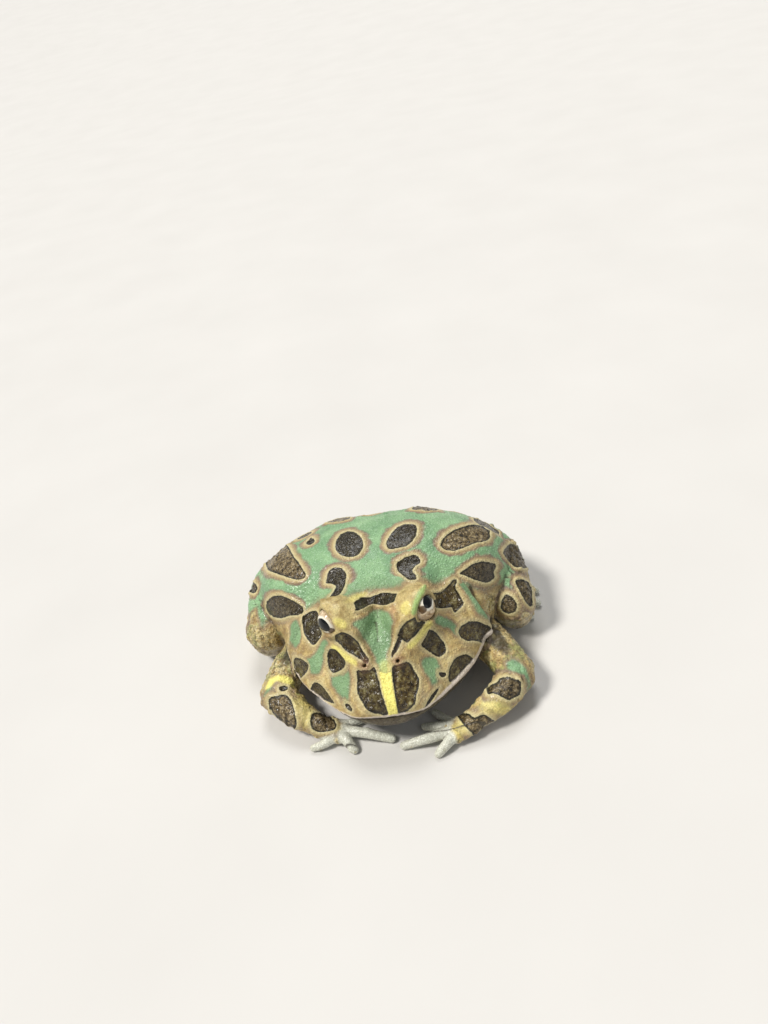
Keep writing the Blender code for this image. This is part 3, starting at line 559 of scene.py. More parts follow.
def web(side_name, root):
    """The skin between the toes, a thin plate from the ball of the foot."""
    tips = [np.array(tip) for tip in TOE_TIPS[side_name]]
    outline = [root[:2]]
    for i, tip in enumerate(tips):
        outline.append(root[:2] + (tip - root[:2]) * WEB_SHARE)
        if i + 1 < len(tips):
            outline.append(root[:2] + ((tip + tips[i + 1]) / 2 - root[:2]) * (WEB_SHARE - WEB_NOTCH))
    outline = np.array(outline)

    def shape(x, y, z):
        flat = np.stack(np.broadcast_arrays(x[:, :, 0], y[:, :, 0]), axis=-1)
        around = outline_distance(flat.reshape(-1, 2).astype(float), outline).reshape(flat.shape[:2])
        return np.maximum(around[:, :, None], np.abs(z - TOE_HEIGHT) - WEB_THICKNESS / 2)

    shape.low = np.array((*outline.min(axis=0), TOE_HEIGHT - WEB_THICKNESS))
    shape.high = np.array((*outline.max(axis=0), TOE_HEIGHT + WEB_THICKNESS))
    return shape


def window(axes, low, high, margin):
    """The part of a grid that covers a box with a margin, and its coordinates ready to broadcast."""
    cuts = []
    for line, start, stop in zip(axes, low, high):
        first, last = (int(np.searchsorted(line, end)) for end in (start - margin, stop + margin))
        cuts.append(slice(first, last))
    x, y, z = (line[part] for line, part in zip(axes, cuts))
    return tuple(cuts), (x[:, None, None], y[None, :, None], z[None, None, :])


def add(field, axes, shape, reach):
    part, places = window(axes, shape.low, shape.high, reach + BLEND_MARGIN)
    if field[part].size:
        field[part] = union(field[part], shape(*places), reach)


def lid_shape(x, y, z):
    """The hood of the left eye with the brow and the horn, cut along the lid's edge."""
    hood = union(oval(LID_CENTRE, LID_AXES)(x, y, z), oval(BROW_CENTRE, BROW_AXES)(x, y, z), BROW_BLEND)
    hood = union(hood, tube(HORN, 6)(x, y, z), HORN_BLEND)
    return cut(hood, -lid_side(x, y, z), EDGE_SOFTNESS)


def lid_side(x, y, z):
    """Distance beyond the plane of the upper lid's edge."""
    return beyond((x, y, z), FRONT_CORNER, unit(UPPER_FACING)) - LID_ADVANCE


def lower_side(x, y, z):
    """Distance above the plane of the lower lid's edge."""
    front, rear, middle = (np.array(place) for place in (FRONT_CORNER, REAR_CORNER, LOWER_MIDDLE))
    facing = unit(np.cross(rear - front, middle - front))
    facing *= math.copysign(1.0, facing[2])
    return beyond((x, y, z), FRONT_CORNER, facing) - LOWER_RISE


def head_details(field, axes, level, near):
    """Lids, horn, eye room, mouth, nostril and eardrum of the left half."""
    part, places = window(axes, (0, -36, 20), (22, -8, 43), 0.0)
    here = union(field[part], lid_shape(*places), HOOD_BLEND)
    upper, lower = lid_side(*places), lower_side(*places)
    from_eye = oval(EYE_CENTRE, (1.0, 1.0, 1.0))(*places) + 1.0
    rim = np.maximum(np.maximum(from_eye - LOWER_RADIUS, LID_GAP - upper), lower)
    here = union(here, rim, RIM_BLEND)
    opening = np.maximum(np.maximum(LID_GAP + 0.02 - upper, LID_GAP - lower), from_eye - EYE_ROOM)
    here = cut(here, opening, EDGE_SOFTNESS)
    here -= LID_LINE_HEIGHT * bell(from_eye - 5.0, 0.7) * (bell(upper + 0.45, 0.45) + bell(lower + 0.4, 0.4))
    field[part] = cut(here, from_eye - (EYE_RADIUS - 0.04), 0.12)

    part, (_, y, z) = window(axes, (0, -48, 8), (40, -11, 22), 0.0)
    line = level[:, part[1], :]
    fade = smooth(-y, 12.5, 17.0) * near[part[0], part[1]]
    field[part] += MOUTH_DEPTH * fade * bell(z - line + 0.25, 0.42)
    field[part] -= LIP_HEIGHT * fade * bell(z - line - 0.85, 0.62)

    part, places = window(axes, NOSTRIL, NOSTRIL, 4.0)
    along = beyond(places, NOSTRIL, unit(NOSTRIL_FACING))
    squared = sum((place - origin) ** 2 for place, origin in zip(places, NOSTRIL))
    away = np.sqrt(np.maximum(squared - along**2, 0.0))
    field[part] -= NOSTRIL_RIM * bell(away - 1.15, 0.55) * bell(along, NOSTRIL_DEPTH)
    field[part] = cut(field[part], np.maximum(away - NOSTRIL_RADIUS, -along - NOSTRIL_DEPTH), 0.35)

    add(field, axes, oval(TYMPANUM, TYMPANUM_AXES, TYMPANUM_FACING), EDGE_SOFTNESS)


def build_field():
    """The grid's lines, the whole frog's field on it, and the field of the trunk and head alone."""
    half = axis(X_STOPS)
    y, z = axis(Y_STOPS), axis(Z_STOPS)
    axes = (half, y, z)
    field, level, near = trunk(*axes)
    for centre, reach, height in SWELLINGS:
        part, (gx, gy, gz) = window(axes, np.array(centre) - 2.7 * reach, np.array(centre) + 2.7 * reach, 0.0)
        above = smooth(gz - level[:, part[1], :], -0.5, 0.6) * near[part[0], part[1]]
        for side in (1, -1) if centre[0] else (1,):
            d2 = (gx - centre[0] * side) ** 2 + (gy - centre[1]) ** 2 + (gz - centre[2]) ** 2
            field[part] -= height * above * np.exp(-d2 / reach**2)
    head_details(field, axes, level, near)
    field = np.concatenate([field[:0:-1], field])
    body = field.copy()
    axes = (np.concatenate([-half[:0:-1], half]), y, z)
    for name, side in SIDES.items():
        for stations, reach in zip(LIMBS[name], LIMB_BLENDS):
            add(field, axes, tube(stations), reach)
        for *joints, radius in FINGERS[name]:
            add(field, axes, digit(joints, radius, FINGER_SWELL), DIGIT_BLEND)
        root = np.array(LIMBS[name][5][-1][0])
        for tip, radius in zip(TOE_TIPS[name], TOE_RADII):
            far = np.array((*tip, TOE_HEIGHT))
            add(field, axes, digit((root, (root + far) / 2, far), radius, TOE_SWELL), DIGIT_BLEND)
        add(field, axes, web(name, root), DIGIT_BLEND)
        add(field, axes, oval(root + mirrored(SPADE_OFFSET, side), SPADE_AXES), SPADE_BLEND)
    np.maximum(field, FLOOR - z[None, None, :], out=field)
    return axes, field, body


# Skin mesh


def surface_nets(axes, field):
    """The zero surface as vertices and quads, one vertex in each cell that the surface crosses."""
    inside = field < 0
    corners = [(i, j, k) for i in (0, 1) for j in (0, 1) for k in (0, 1)]
    shape = [size - 1 for size in field.shape]
    count = np.zeros(shape, np.int8)
    for i, j, k in corners:
        count += inside[i:i + shape[0], j:j + shape[1], k:k + shape[2]]
    cells = np.argwhere((count > 0) & (count < 8))
    number = np.full(shape, -1, np.int32)
    number[tuple(cells.T)] = np.arange(len(cells))
    total, hits = np.zeros((len(cells), 3)), np.zeros(len(cells))
    for a in corners:
        for line in range(3):
            if a[line]:
                continue
            b = np.array(a)
            b[line] = 1
            fa, fb = (field[tuple((cells + corner).T)] for corner in (a, b))
            crossed = (fa < 0) != (fb < 0)
            t = np.where(crossed, fa / np.where(crossed, fa - fb, 1.0), 0.0)
            total[crossed] += a + t[crossed, None] * (b - a)
            hits += crossed
    places = cells + total / hits[:, None]
    verts = np.stack([np.interp(places[:, i], np.arange(len(axes[i])), axes[i]) for i in range(3)], axis=1)
    quads = []
    for line in range(3):
        u, v = (line + 1) % 3, (line + 2) % 3
        near = [slice(1, -1)] * 3
        near[line] = slice(0, -1)
        far = list(near)
        far[line] = slice(1, None)
        start, stop = inside[tuple(near)], inside[tuple(far)]
        for flips in (False, True):
            edges = np.argwhere((start != stop) & (start != flips))
            edges[:, [u, v]] += 1
            steps = [np.zeros(3, int) for _ in range(4)]
            steps[1][u] = steps[2][u] = steps[2][v] = steps[3][v] = 1
            ring = [number[tuple((edges - step).T)] for step in steps]
            quads.append(np.stack(ring[::-1] if flips else ring, axis=1))
    return verts, np.concatenate(quads)


def sample(axes, field, places):
    """The field at free places, blended between its grid's points."""
    index = [np.interp(places[:, i], axes[i], np.arange(len(axes[i]))) for i in range(3)]
    base = [np.clip(part.astype(int), 0, size - 2) for part, size in zip(index, field.shape)]
    share = [part - low for part, low in zip(index, base)]
    value = 0.0
    for i in (0, 1):
        for j in (0, 1):
            for k in (0, 1):
                weight = 1.0
                for part, step in zip(share, (i, j, k)):
                    weight = weight * (part if step else 1 - part)
                value = value + weight * field[base[0] + i, base[1] + j, base[2] + k]
    return value


def slope(axes, field, places):
    parts = []
    for shift in SLOPE_STEP * np.eye(3):
        rise = sample(axes, field, places + shift) - sample(axes, field, places - shift)
        parts.append(rise / (2 * SLOPE_STEP))
    return np.stack(parts, axis=1)


def largest_body(verts, quads):
    """The largest connected surface."""
    label = np.arange(len(verts))
    while True:
        low = label[quads].min(axis=1)
        new = label.copy()
        for i in range(4):
            np.minimum.at(new, quads[:, i], low)
        new = new[new]
        if (new == label).all():
            break
        label = new
    keep = label == np.bincount(label).argmax()
    number = np.cumsum(keep) - 1
    return verts[keep], number[quads[keep[quads[:, 0]]]]


class Net:
    """A quad mesh with its neighbours, for smoothing and normals."""

    def __init__(self, verts, quads):
        self.verts, self.quads = verts, quads
        edges = np.concatenate([quads[:, [i, (i + 1) % 4]] for i in range(4)])
        self.a, self.b = edges.T
        self.count = np.bincount(self.a, minlength=len(verts))

    def spread(self, values):
        """The mean of each vertex's neighbours."""
        columns = values.reshape(len(values), -1)
        mean = [np.bincount(self.a, column[self.b], len(values)) / self.count for column in columns.T]
        return np.stack(mean, axis=1).reshape(values.shape)

    def smoothed(self, values, passes):
        for _ in range(passes):
            values = self.spread(values)
        return values

    def normals(self):
        p = self.verts[self.quads]
        face = np.cross(p[:, 2] - p[:, 0], p[:, 3] - p[:, 1])
        count = len(self.verts)
        total = np.stack([
            sum(np.bincount(corner, part, count) for corner in self.quads.T) for part in face.T
        ], axis=1)
        return total / np.maximum(np.linalg.norm(total, axis=1), 1e-12)[:, None]


def build_net():
    """The skin before its fine relief, evened out and pulled back to the shape."""
    axes, field, body = build_field()
    net = Net(*largest_body(*surface_nets(axes, field)))
    for _ in range(ROUNDS):
        for _ in range(ROUND_PASSES):
            net.verts = net.verts + 0.5 * (net.spread(net.verts) - net.verts)
        rise = slope(axes, field, net.verts)
        steepness = np.maximum((rise * rise).sum(axis=1), 0.2)
        push = np.clip(sample(axes, field, net.verts) / steepness, -ROUND_PULL, ROUND_PULL)
        net.verts = net.verts - rise * push[:, None]
    net.verts = net.verts + 0.4 * (net.spread(net.verts) - net.verts)
    x, y, z = net.verts.T
    tail = smooth(y, 34.0, 41.0) * smooth(z, 4.0, 7.0)
    snout = (1 - smooth(y, -45.6, -44.0)) * smooth(z, 12.6, 14.0) * (1 - smooth(np.abs(x), 6.0, 10.0))
    ends = np.maximum(tail, snout * (z < 22))[:, None]
    for _ in range(END_PASSES):
        net.verts = net.verts + ends * (net.spread(net.verts) - net.verts)
    net.verts[:, 2] = np.maximum(net.verts[:, 2], FLOOR)
    net.off_body = sample(axes, body, net.verts)
    return net


# Camera


def through(pixel):
    """The direction through a pixel, along the camera's right, up and backward axes."""
    return Vector((pixel[0] - WIDTH / 2, HEIGHT / 2 - pixel[1], -FOCAL_PIXELS)).normalized()


def camera_frame():
    """The camera's place, and its right, up and backward axes as rows."""
    az, el, roll = (math.radians(angle) for angle in (AZIMUTH, ELEVATION, ROLL))
    back = Vector((math.sin(az) * math.cos(el), -math.cos(az) * math.cos(el), math.sin(el)))
    right = Vector((math.cos(az), math.sin(az), 0.0))
    up = back.cross(right)
    rolled = Matrix((
        math.cos(roll) * right - math.sin(roll) * up,
        math.sin(roll) * right + math.cos(roll) * up,
        back,
    ))
    turn = Vector((0, 0, -1)).rotation_difference(through(TARGET_PIXEL)).inverted().to_matrix()
    return TARGET + back * DISTANCE, turn.transposed() @ rolled


VIEW_POINT, VIEW_AXES = camera_frame()


def add_camera():
    data = bpy.data.cameras.new("camera")
    data.sensor_width = SENSOR
    data.lens = FOCAL_PIXELS * SENSOR / HEIGHT
    data.clip_start, data.clip_end = CLIP
    camera = bpy.data.objects.new("camera", data)
    bpy.context.scene.collection.objects.link(camera)
    camera.matrix_world = Matrix.Translation(VIEW_POINT * MM) @ VIEW_AXES.transposed().to_4x4()
    bpy.context.scene.camera = camera


def pixels(places):
    """Where places stand in the picture."""
    seen = (places - np.array(VIEW_POINT)) @ np.array(VIEW_AXES).T
    scale = FOCAL_PIXELS / seen[:, 2]
    return np.column_stack([WIDTH / 2 - scale * seen[:, 0], HEIGHT / 2 + scale * seen[:, 1]])


def closed_curve(corners):
    """A smooth closed curve through the corners."""
    t = (np.arange(CURVE_STEPS) / CURVE_STEPS)[:, None, None]
    p0, p1, p2, p3 = (np.roll(corners, shift, axis=0)[None] for shift in (1, 0, -1, -2))
    bend, twist = 2 * p0 - 5 * p1 + 4 * p2 - p3, 3 * p1 - p0 - 3 * p2 + p3
    curve = 0.5 * (2 * p1 + (p2 - p0) * t + bend * t**2 + twist * t**3)
    return curve.transpose(1, 0, 2).reshape(-1, 2)


def with_ones(points):
    return np.column_stack([points, np.ones(len(points))])


class Canvas:
    """Carries the picture's outlines and lines, given as x, y, x, y and so on in pixels, onto the skin."""

    def __init__(self, net):
        self.verts, self.normals = net.verts, net.smoothed(net.normals(), NORMAL_PASSES)
        self.normals /= np.linalg.norm(self.normals, axis=1)[:, None]
        self.tree = BVHTree.FromPolygons([tuple(vert) for vert in net.verts], net.quads.tolist())
        self.pixels = pixels(net.verts)
        left_half = np.column_stack([np.abs(net.verts[:, 0]), net.verts[:, 1:]])
        self.from_eye = np.linalg.norm(left_half - EYE_CENTRE, axis=1)
        toward = np.array(VIEW_POINT) - net.verts
        self.facing = (self.normals * toward).sum(axis=1) / np.linalg.norm(toward, axis=1)

    def hit(self, pixel):
        """The skin's place under a pixel, or None."""
        place = self.tree.ray_cast(VIEW_POINT, VIEW_AXES.transposed() @ through(pixel))[0]
        return None if place is None else np.array(place)

    def distance(self, outline, depth=2.5):
        """Millimetres to a closed outline for the vertices near it, far for the rest.

        The outline is laid on the plane that fits the skin under it. Depth is how far off that plane the
        skin may lie.
        """
        corners = np.reshape(outline, (-1, 2))
        found = [(corner, self.hit(corner)) for corner in corners]
        flat = np.array([corner for corner, place in found if place is not None])
        solid = np.array([place for _, place in found if place is not None])
        centre = np.median(solid, axis=0)
        radius = np.linalg.norm(solid - centre, axis=1).max()
        away = np.linalg.norm(self.verts - centre, axis=1)
        close = (away < max(radius * 0.8, 1.2)) & (self.facing > 0.1)
        normal = unit(self.normals[close].sum(axis=0))
        near = away < radius + OUTLINE_REACH
        near &= ((self.facing > -0.1) & (self.normals @ normal > 0.0)) | (self.from_eye < EYE_ROOM)
        near &= np.abs((self.verts - centre) @ normal) < radius * 0.6 + depth
        u = unit(np.cross(normal, (0.3, 0.2, 1.0)))
        v = np.cross(normal, u)
        plane = np.column_stack([(solid - centre) @ u, (solid - centre) @ v])
        steps = np.linalg.lstsq(with_ones(flat), plane, rcond=None)[0]
        curve = with_ones(closed_curve(corners)) @ steps
        value = np.full(len(self.verts), FAR)
        value[near] = outline_distance(with_ones(self.pixels[near]) @ steps, curve)
        return value

    def line_distance(self, line):
        """Millimetres to a line of the picture that lies on the skin."""
        places = [place for place in map(self.hit, np.reshape(line, (-1, 2))) if place is not None]
        near = np.full(len(self.verts), FAR)
        for a, b in zip(places, places[1:]):
            edge = b - a
            rel = self.verts - a
            t = np.clip(rel @ edge / (edge @ edge), 0.0, 1.0)
            near = np.minimum(near, np.linalg.norm(rel - t[:, None] * edge, axis=1))
        return near


# Attributes and fine relief


def noise_at(places, size, seed=0.0):
    """Smooth noise from about -1 to 1, with features of the given size in millimetres."""
    return np.array([noise.noise(Vector(place)) for place in (places / size + seed).tolist()])


def cells_at(places, size, seed=0.0):
    """Distances to the nearest and the second nearest of scattered points, in units of the size."""
    return np.array([noise.voronoi(Vector(place))[0][:2] for place in (places / size + seed).tolist()]).T


def grains_at(places, size, seed=0.0):
    """Rounded grains: 1 in a grain's middle and 0 between grains."""
    first, second = cells_at(places, size, seed)
    return np.minimum((second - first) * GRAIN_FULLNESS, 1.0)


def nearer(value, tone, distance, own_tone):
    """The smaller of two distances everywhere, and the tone that belongs to it."""
    closer = distance < value
    return np.where(closer, distance, value), np.where(closer, own_tone, tone)


def extra_spots(canvas, marked):
    """Seeded spots where the picture doesn't reach: the rear, the far flanks and the hind legs."""
    random.seed(SEED)
    verts = canvas.verts
    value, tone = np.full(len(verts), FAR), np.zeros(len(verts))
    wobble = noise_at(verts, 3.5, 7.0)
    placed = []
    for _ in range(EXTRA_TRIES):
        pick = random.randrange(len(verts))
        radius = random.uniform(*EXTRA_RADII)
        brown = random.random()
        x, y, z = verts[pick]
        hidden = canvas.facing[pick] < HIDDEN_FACING or (y > 34 and z > 10)
        if not hidden or z < 8.5 or y < -8:
            continue
        if z < 13 or abs(x) > 38:
            radius *= EXTRA_SMALL
        away = [np.linalg.norm(verts[pick] - place) - other for place, other in placed]
        if marked[pick] < radius + MARK_GAP or min(away, default=FAR + radius) < radius + EXTRA_GAP:
            continue
        placed.append((verts[pick], radius))
        reach = np.linalg.norm(verts - verts[pick], axis=1)
        distance = np.clip(reach - radius * (1 + EXTRA_WANDER * wobble), -3.0, FAR)
        value, tone = nearer(value, tone, distance, 0.2 + 0.7 * brown)
    return value, tone


def smallest(distances):
    return np.minimum.reduce(distances)


def paint(net):
    """Every attribute that the skin's material reads, and the vertices moved outward by the relief."""
    canvas = Canvas(net)
    verts, normals, from_eye = net.verts, net.normals(), canvas.from_eye
    x, y, z = verts.T
    side = np.abs(x)
    hood = np.minimum(oval(LID_CENTRE, LID_AXES)(side, y, z), tube(HORN, 6)(side, y, z))
    lid = (1 - smooth(hood, 0.35, 1.1)) * smooth(-lid_side(side, y, z), -1.2, 0.0) * smooth(z, 30.2, 31.6)
    on_trunk = 1 - smooth(net.off_body, 0.5, 1.3)
    head = (1 - smooth(y, -14.0, -9.0)) * on_trunk
    limb = 1 - on_trunk

    # Dark markings, kept off the lids
    mark, tone = np.full(len(verts), FAR), np.zeros(len(verts))
    for brown, outline in MARKS.values():
        mark, tone = nearer(mark, tone, canvas.distance(outline), brown)
    mark, tone = nearer(mark, tone, *extra_spots(canvas, mark))
    off_lid = np.maximum(np.maximum(hood - 0.5, lid_side(side, y, z) - 0.3), np.maximum(32.0 - z, -28.6 - y))
    mark = np.maximum(mark, 0.4 - off_lid)
    tone = net.spread(net.spread(tone))

    # Teal, green, yellow and speckled places
    patches = smallest([canvas.distance(outline) for outline in TEALS]) - 0.45
    ground = canvas.distance(BACK_GROUND, depth=30.0)
    rear = np.maximum(15.5 + 1.5 * noise_at(verts, 6.0, 3.0) - z, 1.0 - y)
    green = smallest([patches, ground, rear])
    yellow, speckled = np.zeros(len(verts)), np.zeros(len(verts))
    for strength, outline in YELLOWS.values():
        soft = 1.4 - strength
        yellow = np.maximum(yellow, strength * (1 - smooth(canvas.distance(outline), -soft, soft)))
    for outline in SPECKLED:
        speckled = np.maximum(speckled, 1 - smooth(canvas.distance(outline, depth=9.0), -1.5, 1.5))

    # Mouth, jaw, lip, belly, fingers, toes and nostrils
    mouth = np.where(y < -11.5, z - trunk_rows(y)[3], FAR)
    jaw = smooth(-mouth, 0.0, 0.8) * head
    lip = smooth(mouth, -0.4, 0.0) * head * smooth(-y, 13.0, 16.5)
    belly = smooth(-normals[:, 2], 0.1, 0.75) * (1 - smooth(z, 9.0, 15.0))
    digits = np.zeros(len(verts))
    for name in SIDES:
        for *joints, radius in FINGERS[name]:
            near = tube([(place, radius, radius) for place in joints], 4)(x, y, z)
            digits = np.maximum(digits, 1 - smooth(near, 0.3, 1.3))
        tips = [np.hypot(x - tip[0], y - tip[1]) for tip in TOE_TIPS[name]]
        digits = np.maximum(digits, (1 - smooth(smallest(tips), 4.0, 9.0)) * (1 - smooth(z, 2.5, 4.0)))
    nostril = sum(np.exp(-(((verts - mirrored(NOSTRIL, sign)) ** 2).sum(axis=1) / 2.6)) for sign in (1, -1))
    # Lid margins by the eye: partly dark brown skin, partly painted shade, strongest under the upper lid
    lid_margin_and_shade = bell(from_eye - EYE_RADIUS, 0.5) * (0.45 + 0.55 * smooth(z, 33.0, 35.0))

    # Relief: grains, warts, slow swells, rimmed and sunken marks, banded limbs, spikes, wrinkles and folds
    grains = grains_at(verts, 1.05)
    warts = grains_at(verts, 3.1, 5.0)
    broad = noise_at(verts, 7.0)
    bands = np.abs(noise_at(verts * np.array((1.0, 1.0, 0.5)), 2.6, 29.0))
    wrinkles = np.abs(noise_at(verts * np.array((1.0, 0.35, 1.0)), 1.5, 17.0))
    spikes = np.clip(1 - cells_at(verts, 4.6, 23.0)[0] / 0.26, 0.0, 1.0) ** 1.5
    inside = 1 - smooth(mark, -0.5, 0.2)
    plain = head * smooth(green, 0.0, 0.6) * (1 - inside)
    flank = smooth(side, 30.0, 36.0) * smooth(y, -6.0, 0.0) * smooth(z, 5.0, 9.0)
    flank = flank + 0.6 * limb * smooth(z, 4.0, 8.0)
    relief = (GRAIN_HEIGHT + 0.06 * inside * (1 - 2 * head) - 0.08 * plain) * (grains - 0.5)
    relief += FINE_HEIGHT * noise_at(verts, 0.9, 11.0)
    relief += WART_HEIGHT * smooth(warts, 0.5, 1.0) * smooth(broad, -0.1, 0.5) * (1 - head)
    relief += SWELL_HEIGHT * broad * (1 - 0.6 * head)
    relief += RIM_HEIGHT * (1 - 0.5 * head) * bell(mark - 0.45, 0.5)
    relief -= (MARK_DEPTH + 0.18 * head) * (1 - smooth(mark, -1.1, 0.5))
    relief += limb * (BAND_HEIGHT * (bands - 0.25) + 0.3 * smooth(warts, 0.45, 1.0) * (bands > 0.05))
    relief += SPIKE_HEIGHT * spikes * flank
    relief *= (1 - 0.8 * lid) * (1 - 0.7 * digits) * (1 - 0.6 * belly) * smooth(from_eye, 4.6, 6.0)
    off_eye = smooth(from_eye, 4.8, 5.6)
    relief += (WRINKLE_HEIGHT * inside * head + 0.09 * lid) * (wrinkles - 0.25) * off_eye
    relief += 0.5 * inside * head * (bands - 0.25) * off_eye
    folds = sum(height * bell(canvas.line_distance(line), width) for height, width, line in FOLDS)
    relief += folds * smooth(z, 0.5, 2.0) * smooth(from_eye, 4.6, 5.6)
    relief *= smooth(z, 0.1, 0.8)

    # Creases lie below the smoothed surface, and the skin's material darkens them as painted shade
    moved = verts + normals * relief[:, None]
    lifted = ((net.smoothed(moved, CREASE_PASSES) - moved) * normals).sum(axis=1)
    attributes = {
        "mark": mark, "tone": tone, "green": green, "yellow": yellow, "speckled": speckled, "lid": lid,
        "lid_green": canvas.distance(LID_GREEN, depth=4.0), "lid_margin_and_shade": lid_margin_and_shade, "belly": belly, "jaw": jaw,
        "digit": digits, "lip": lip, "lip_width": 1.1 + 0.9 * smooth(x, 10.0, 20.0), "head": head,
        "limb": limb, "mouth": np.clip(mouth, -FAR, FAR), "nostril": nostril, "height": z,
        "crease_shade": np.clip(lifted / CREASE_DEPTH, -1.0, 1.0),
    }
    return attributes, moved


def mesh_object(name, verts, faces, attributes=None):
    mesh = bpy.data.meshes.new(name)
    mesh.vertices.add(len(verts))
    mesh.vertices.foreach_set("co", (np.asarray(verts, np.float32) * MM).ravel())
    faces = np.asarray(faces, np.int32)
    mesh.loops.add(faces.size)
    mesh.loops.foreach_set("vertex_index", faces.ravel())
    mesh.polygons.add(len(faces))
    mesh.polygons.foreach_set("loop_start", np.arange(0, faces.size, faces.shape[1], dtype=np.int32))
    mesh.update(calc_edges=True)
    for key, values in (attributes or {}).items():
        mesh.attributes.new(key, "FLOAT", "POINT").data.foreach_set("value", np.asarray(values, np.float32))
    mesh.shade_smooth()
    obj = bpy.data.objects.new(name, mesh)
    bpy.context.scene.collection.objects.link(obj)
    return obj


# Materials


class Paint:
    """Short calls that add nodes to one material."""

    def __init__(self, name):
        self.material = bpy.data.materials.new(name)
        self.material.use_nodes = True
        self.tree = self.material.node_tree
        self.shader = self.tree.nodes["Principled BSDF"]
        coords = self.node("ShaderNodeTexCoord")
        scale = self.node("ShaderNodeVectorMath", operation="SCALE")
        scale.inputs["Scale"].default_value = 1 / MM
        self.link(coords.outputs["Object"], scale.inputs[0])
        self.mm = scale.outputs[0]
        self.read = {}

    def node(self, kind, **settings):
        made = self.tree.nodes.new(kind)
        for key, value in settings.items():
            setattr(made, key, value)
        return made

    def link(self, value, socket):
        """Feeds a socket with another node's output, or with a plain number or colour."""
        if isinstance(value, bpy.types.NodeSocket):
            self.tree.links.new(value, socket)
        elif isinstance(value, tuple):
            socket.default_value = (*value, 1.0) if len(socket.default_value) == 4 else value
        else:
            socket.default_value = value

    def attribute(self, name):
        if name not in self.read:
            self.read[name] = self.node("ShaderNodeAttribute", attribute_name=name).outputs["Fac"]
        return self.read[name]

    def math(self, operation, first, second):
        made = self.node("ShaderNodeMath", operation=operation)
        self.link(first, made.inputs[0])
        self.link(second, made.inputs[1])
        return made.outputs[0]

    def plus(self, first, second):
        return self.math("ADD", first, second)

    def minus(self, first, second):
        return self.math("SUBTRACT", first, second)

    def times(self, first, *others):
        for other in others:
            first = self.math("MULTIPLY", first, other)
        return first

    def step(self, value, low, high, bottom=0.0, top=1.0):
        """Soft step from bottom to top as the value goes from low to high."""
        made = self.node("ShaderNodeMapRange", interpolation_type="SMOOTHSTEP")
        for item, socket in zip((value, low, high, bottom, top), made.inputs):
            self.link(item, socket)
        return made.outputs[0]

    def noise(self, size, detail=2.0, rough=0.5, shift=0.0):
        made = self.node("ShaderNodeTexNoise", noise_dimensions="4D")
        self.link(self.mm, made.inputs["Vector"])
        for key, value in {"W": shift, "Scale": 1 / size, "Detail": detail, "Roughness": rough}.items():
            made.inputs[key].default_value = value
        return made.outputs["Fac"]

    def cells(self, size, feature="F1", stretch=(1.0, 1.0, 1.0)):
        """Distance to the nearest cell's point or to its edge, in a pattern stretched along each axis."""
        made = self.node("ShaderNodeTexVoronoi", feature=feature)
        mapping = self.node("ShaderNodeMapping")
        self.link(self.mm, mapping.inputs["Vector"])
        mapping.inputs["Scale"].default_value = stretch
        self.link(mapping.outputs[0], made.inputs["Vector"])
        made.inputs["Scale"].default_value = 1 / size
        return made.outputs["Distance"]

    def mix(self, share, first, second, blend="MIX"):
        """The first colour where the share is 0 and the second where it is 1."""
        made = self.node("ShaderNodeMix", data_type="RGBA", blend_type=blend)
        self.link(share, made.inputs["Factor"])
        self.link(first, made.inputs[MIX_FIRST])
        self.link(second, made.inputs[MIX_SECOND])
        return made.outputs[MIX_RESULT]

    def over(self, base, *coats):
        """The base with other colours laid over it in turn, each with the factors of its share."""
        for colour, *factors in coats:
            base = self.mix(self.times(*factors), base, colour)
        return base

    def ramp(self, value, stops):
        made = self.node("ShaderNodeValToRGB")
        elements = made.color_ramp.elements
        while len(elements) < len(stops):
            elements.new(0.5)
        for element, (place, colour) in zip(elements, stops):
            element.position = place
            element.color = (*colour, 1.0)
        self.link(value, made.inputs["Fac"])
        return made.outputs["Color"]

    def bump(self, height, strength=1.0):
        """Fine relief in the shading, from a height in millimetres."""
        made = self.node("ShaderNodeBump")
        made.inputs["Strength"].default_value = strength
        made.inputs["Distance"].default_value = MM
        self.link(height, made.inputs["Height"])
        self.link(made.outputs[0], self.shader.inputs["Normal"])

    def constants(self, **values):
        for key, value in values.items():
            self.shader.inputs[key.replace("_", " ")].default_value = value


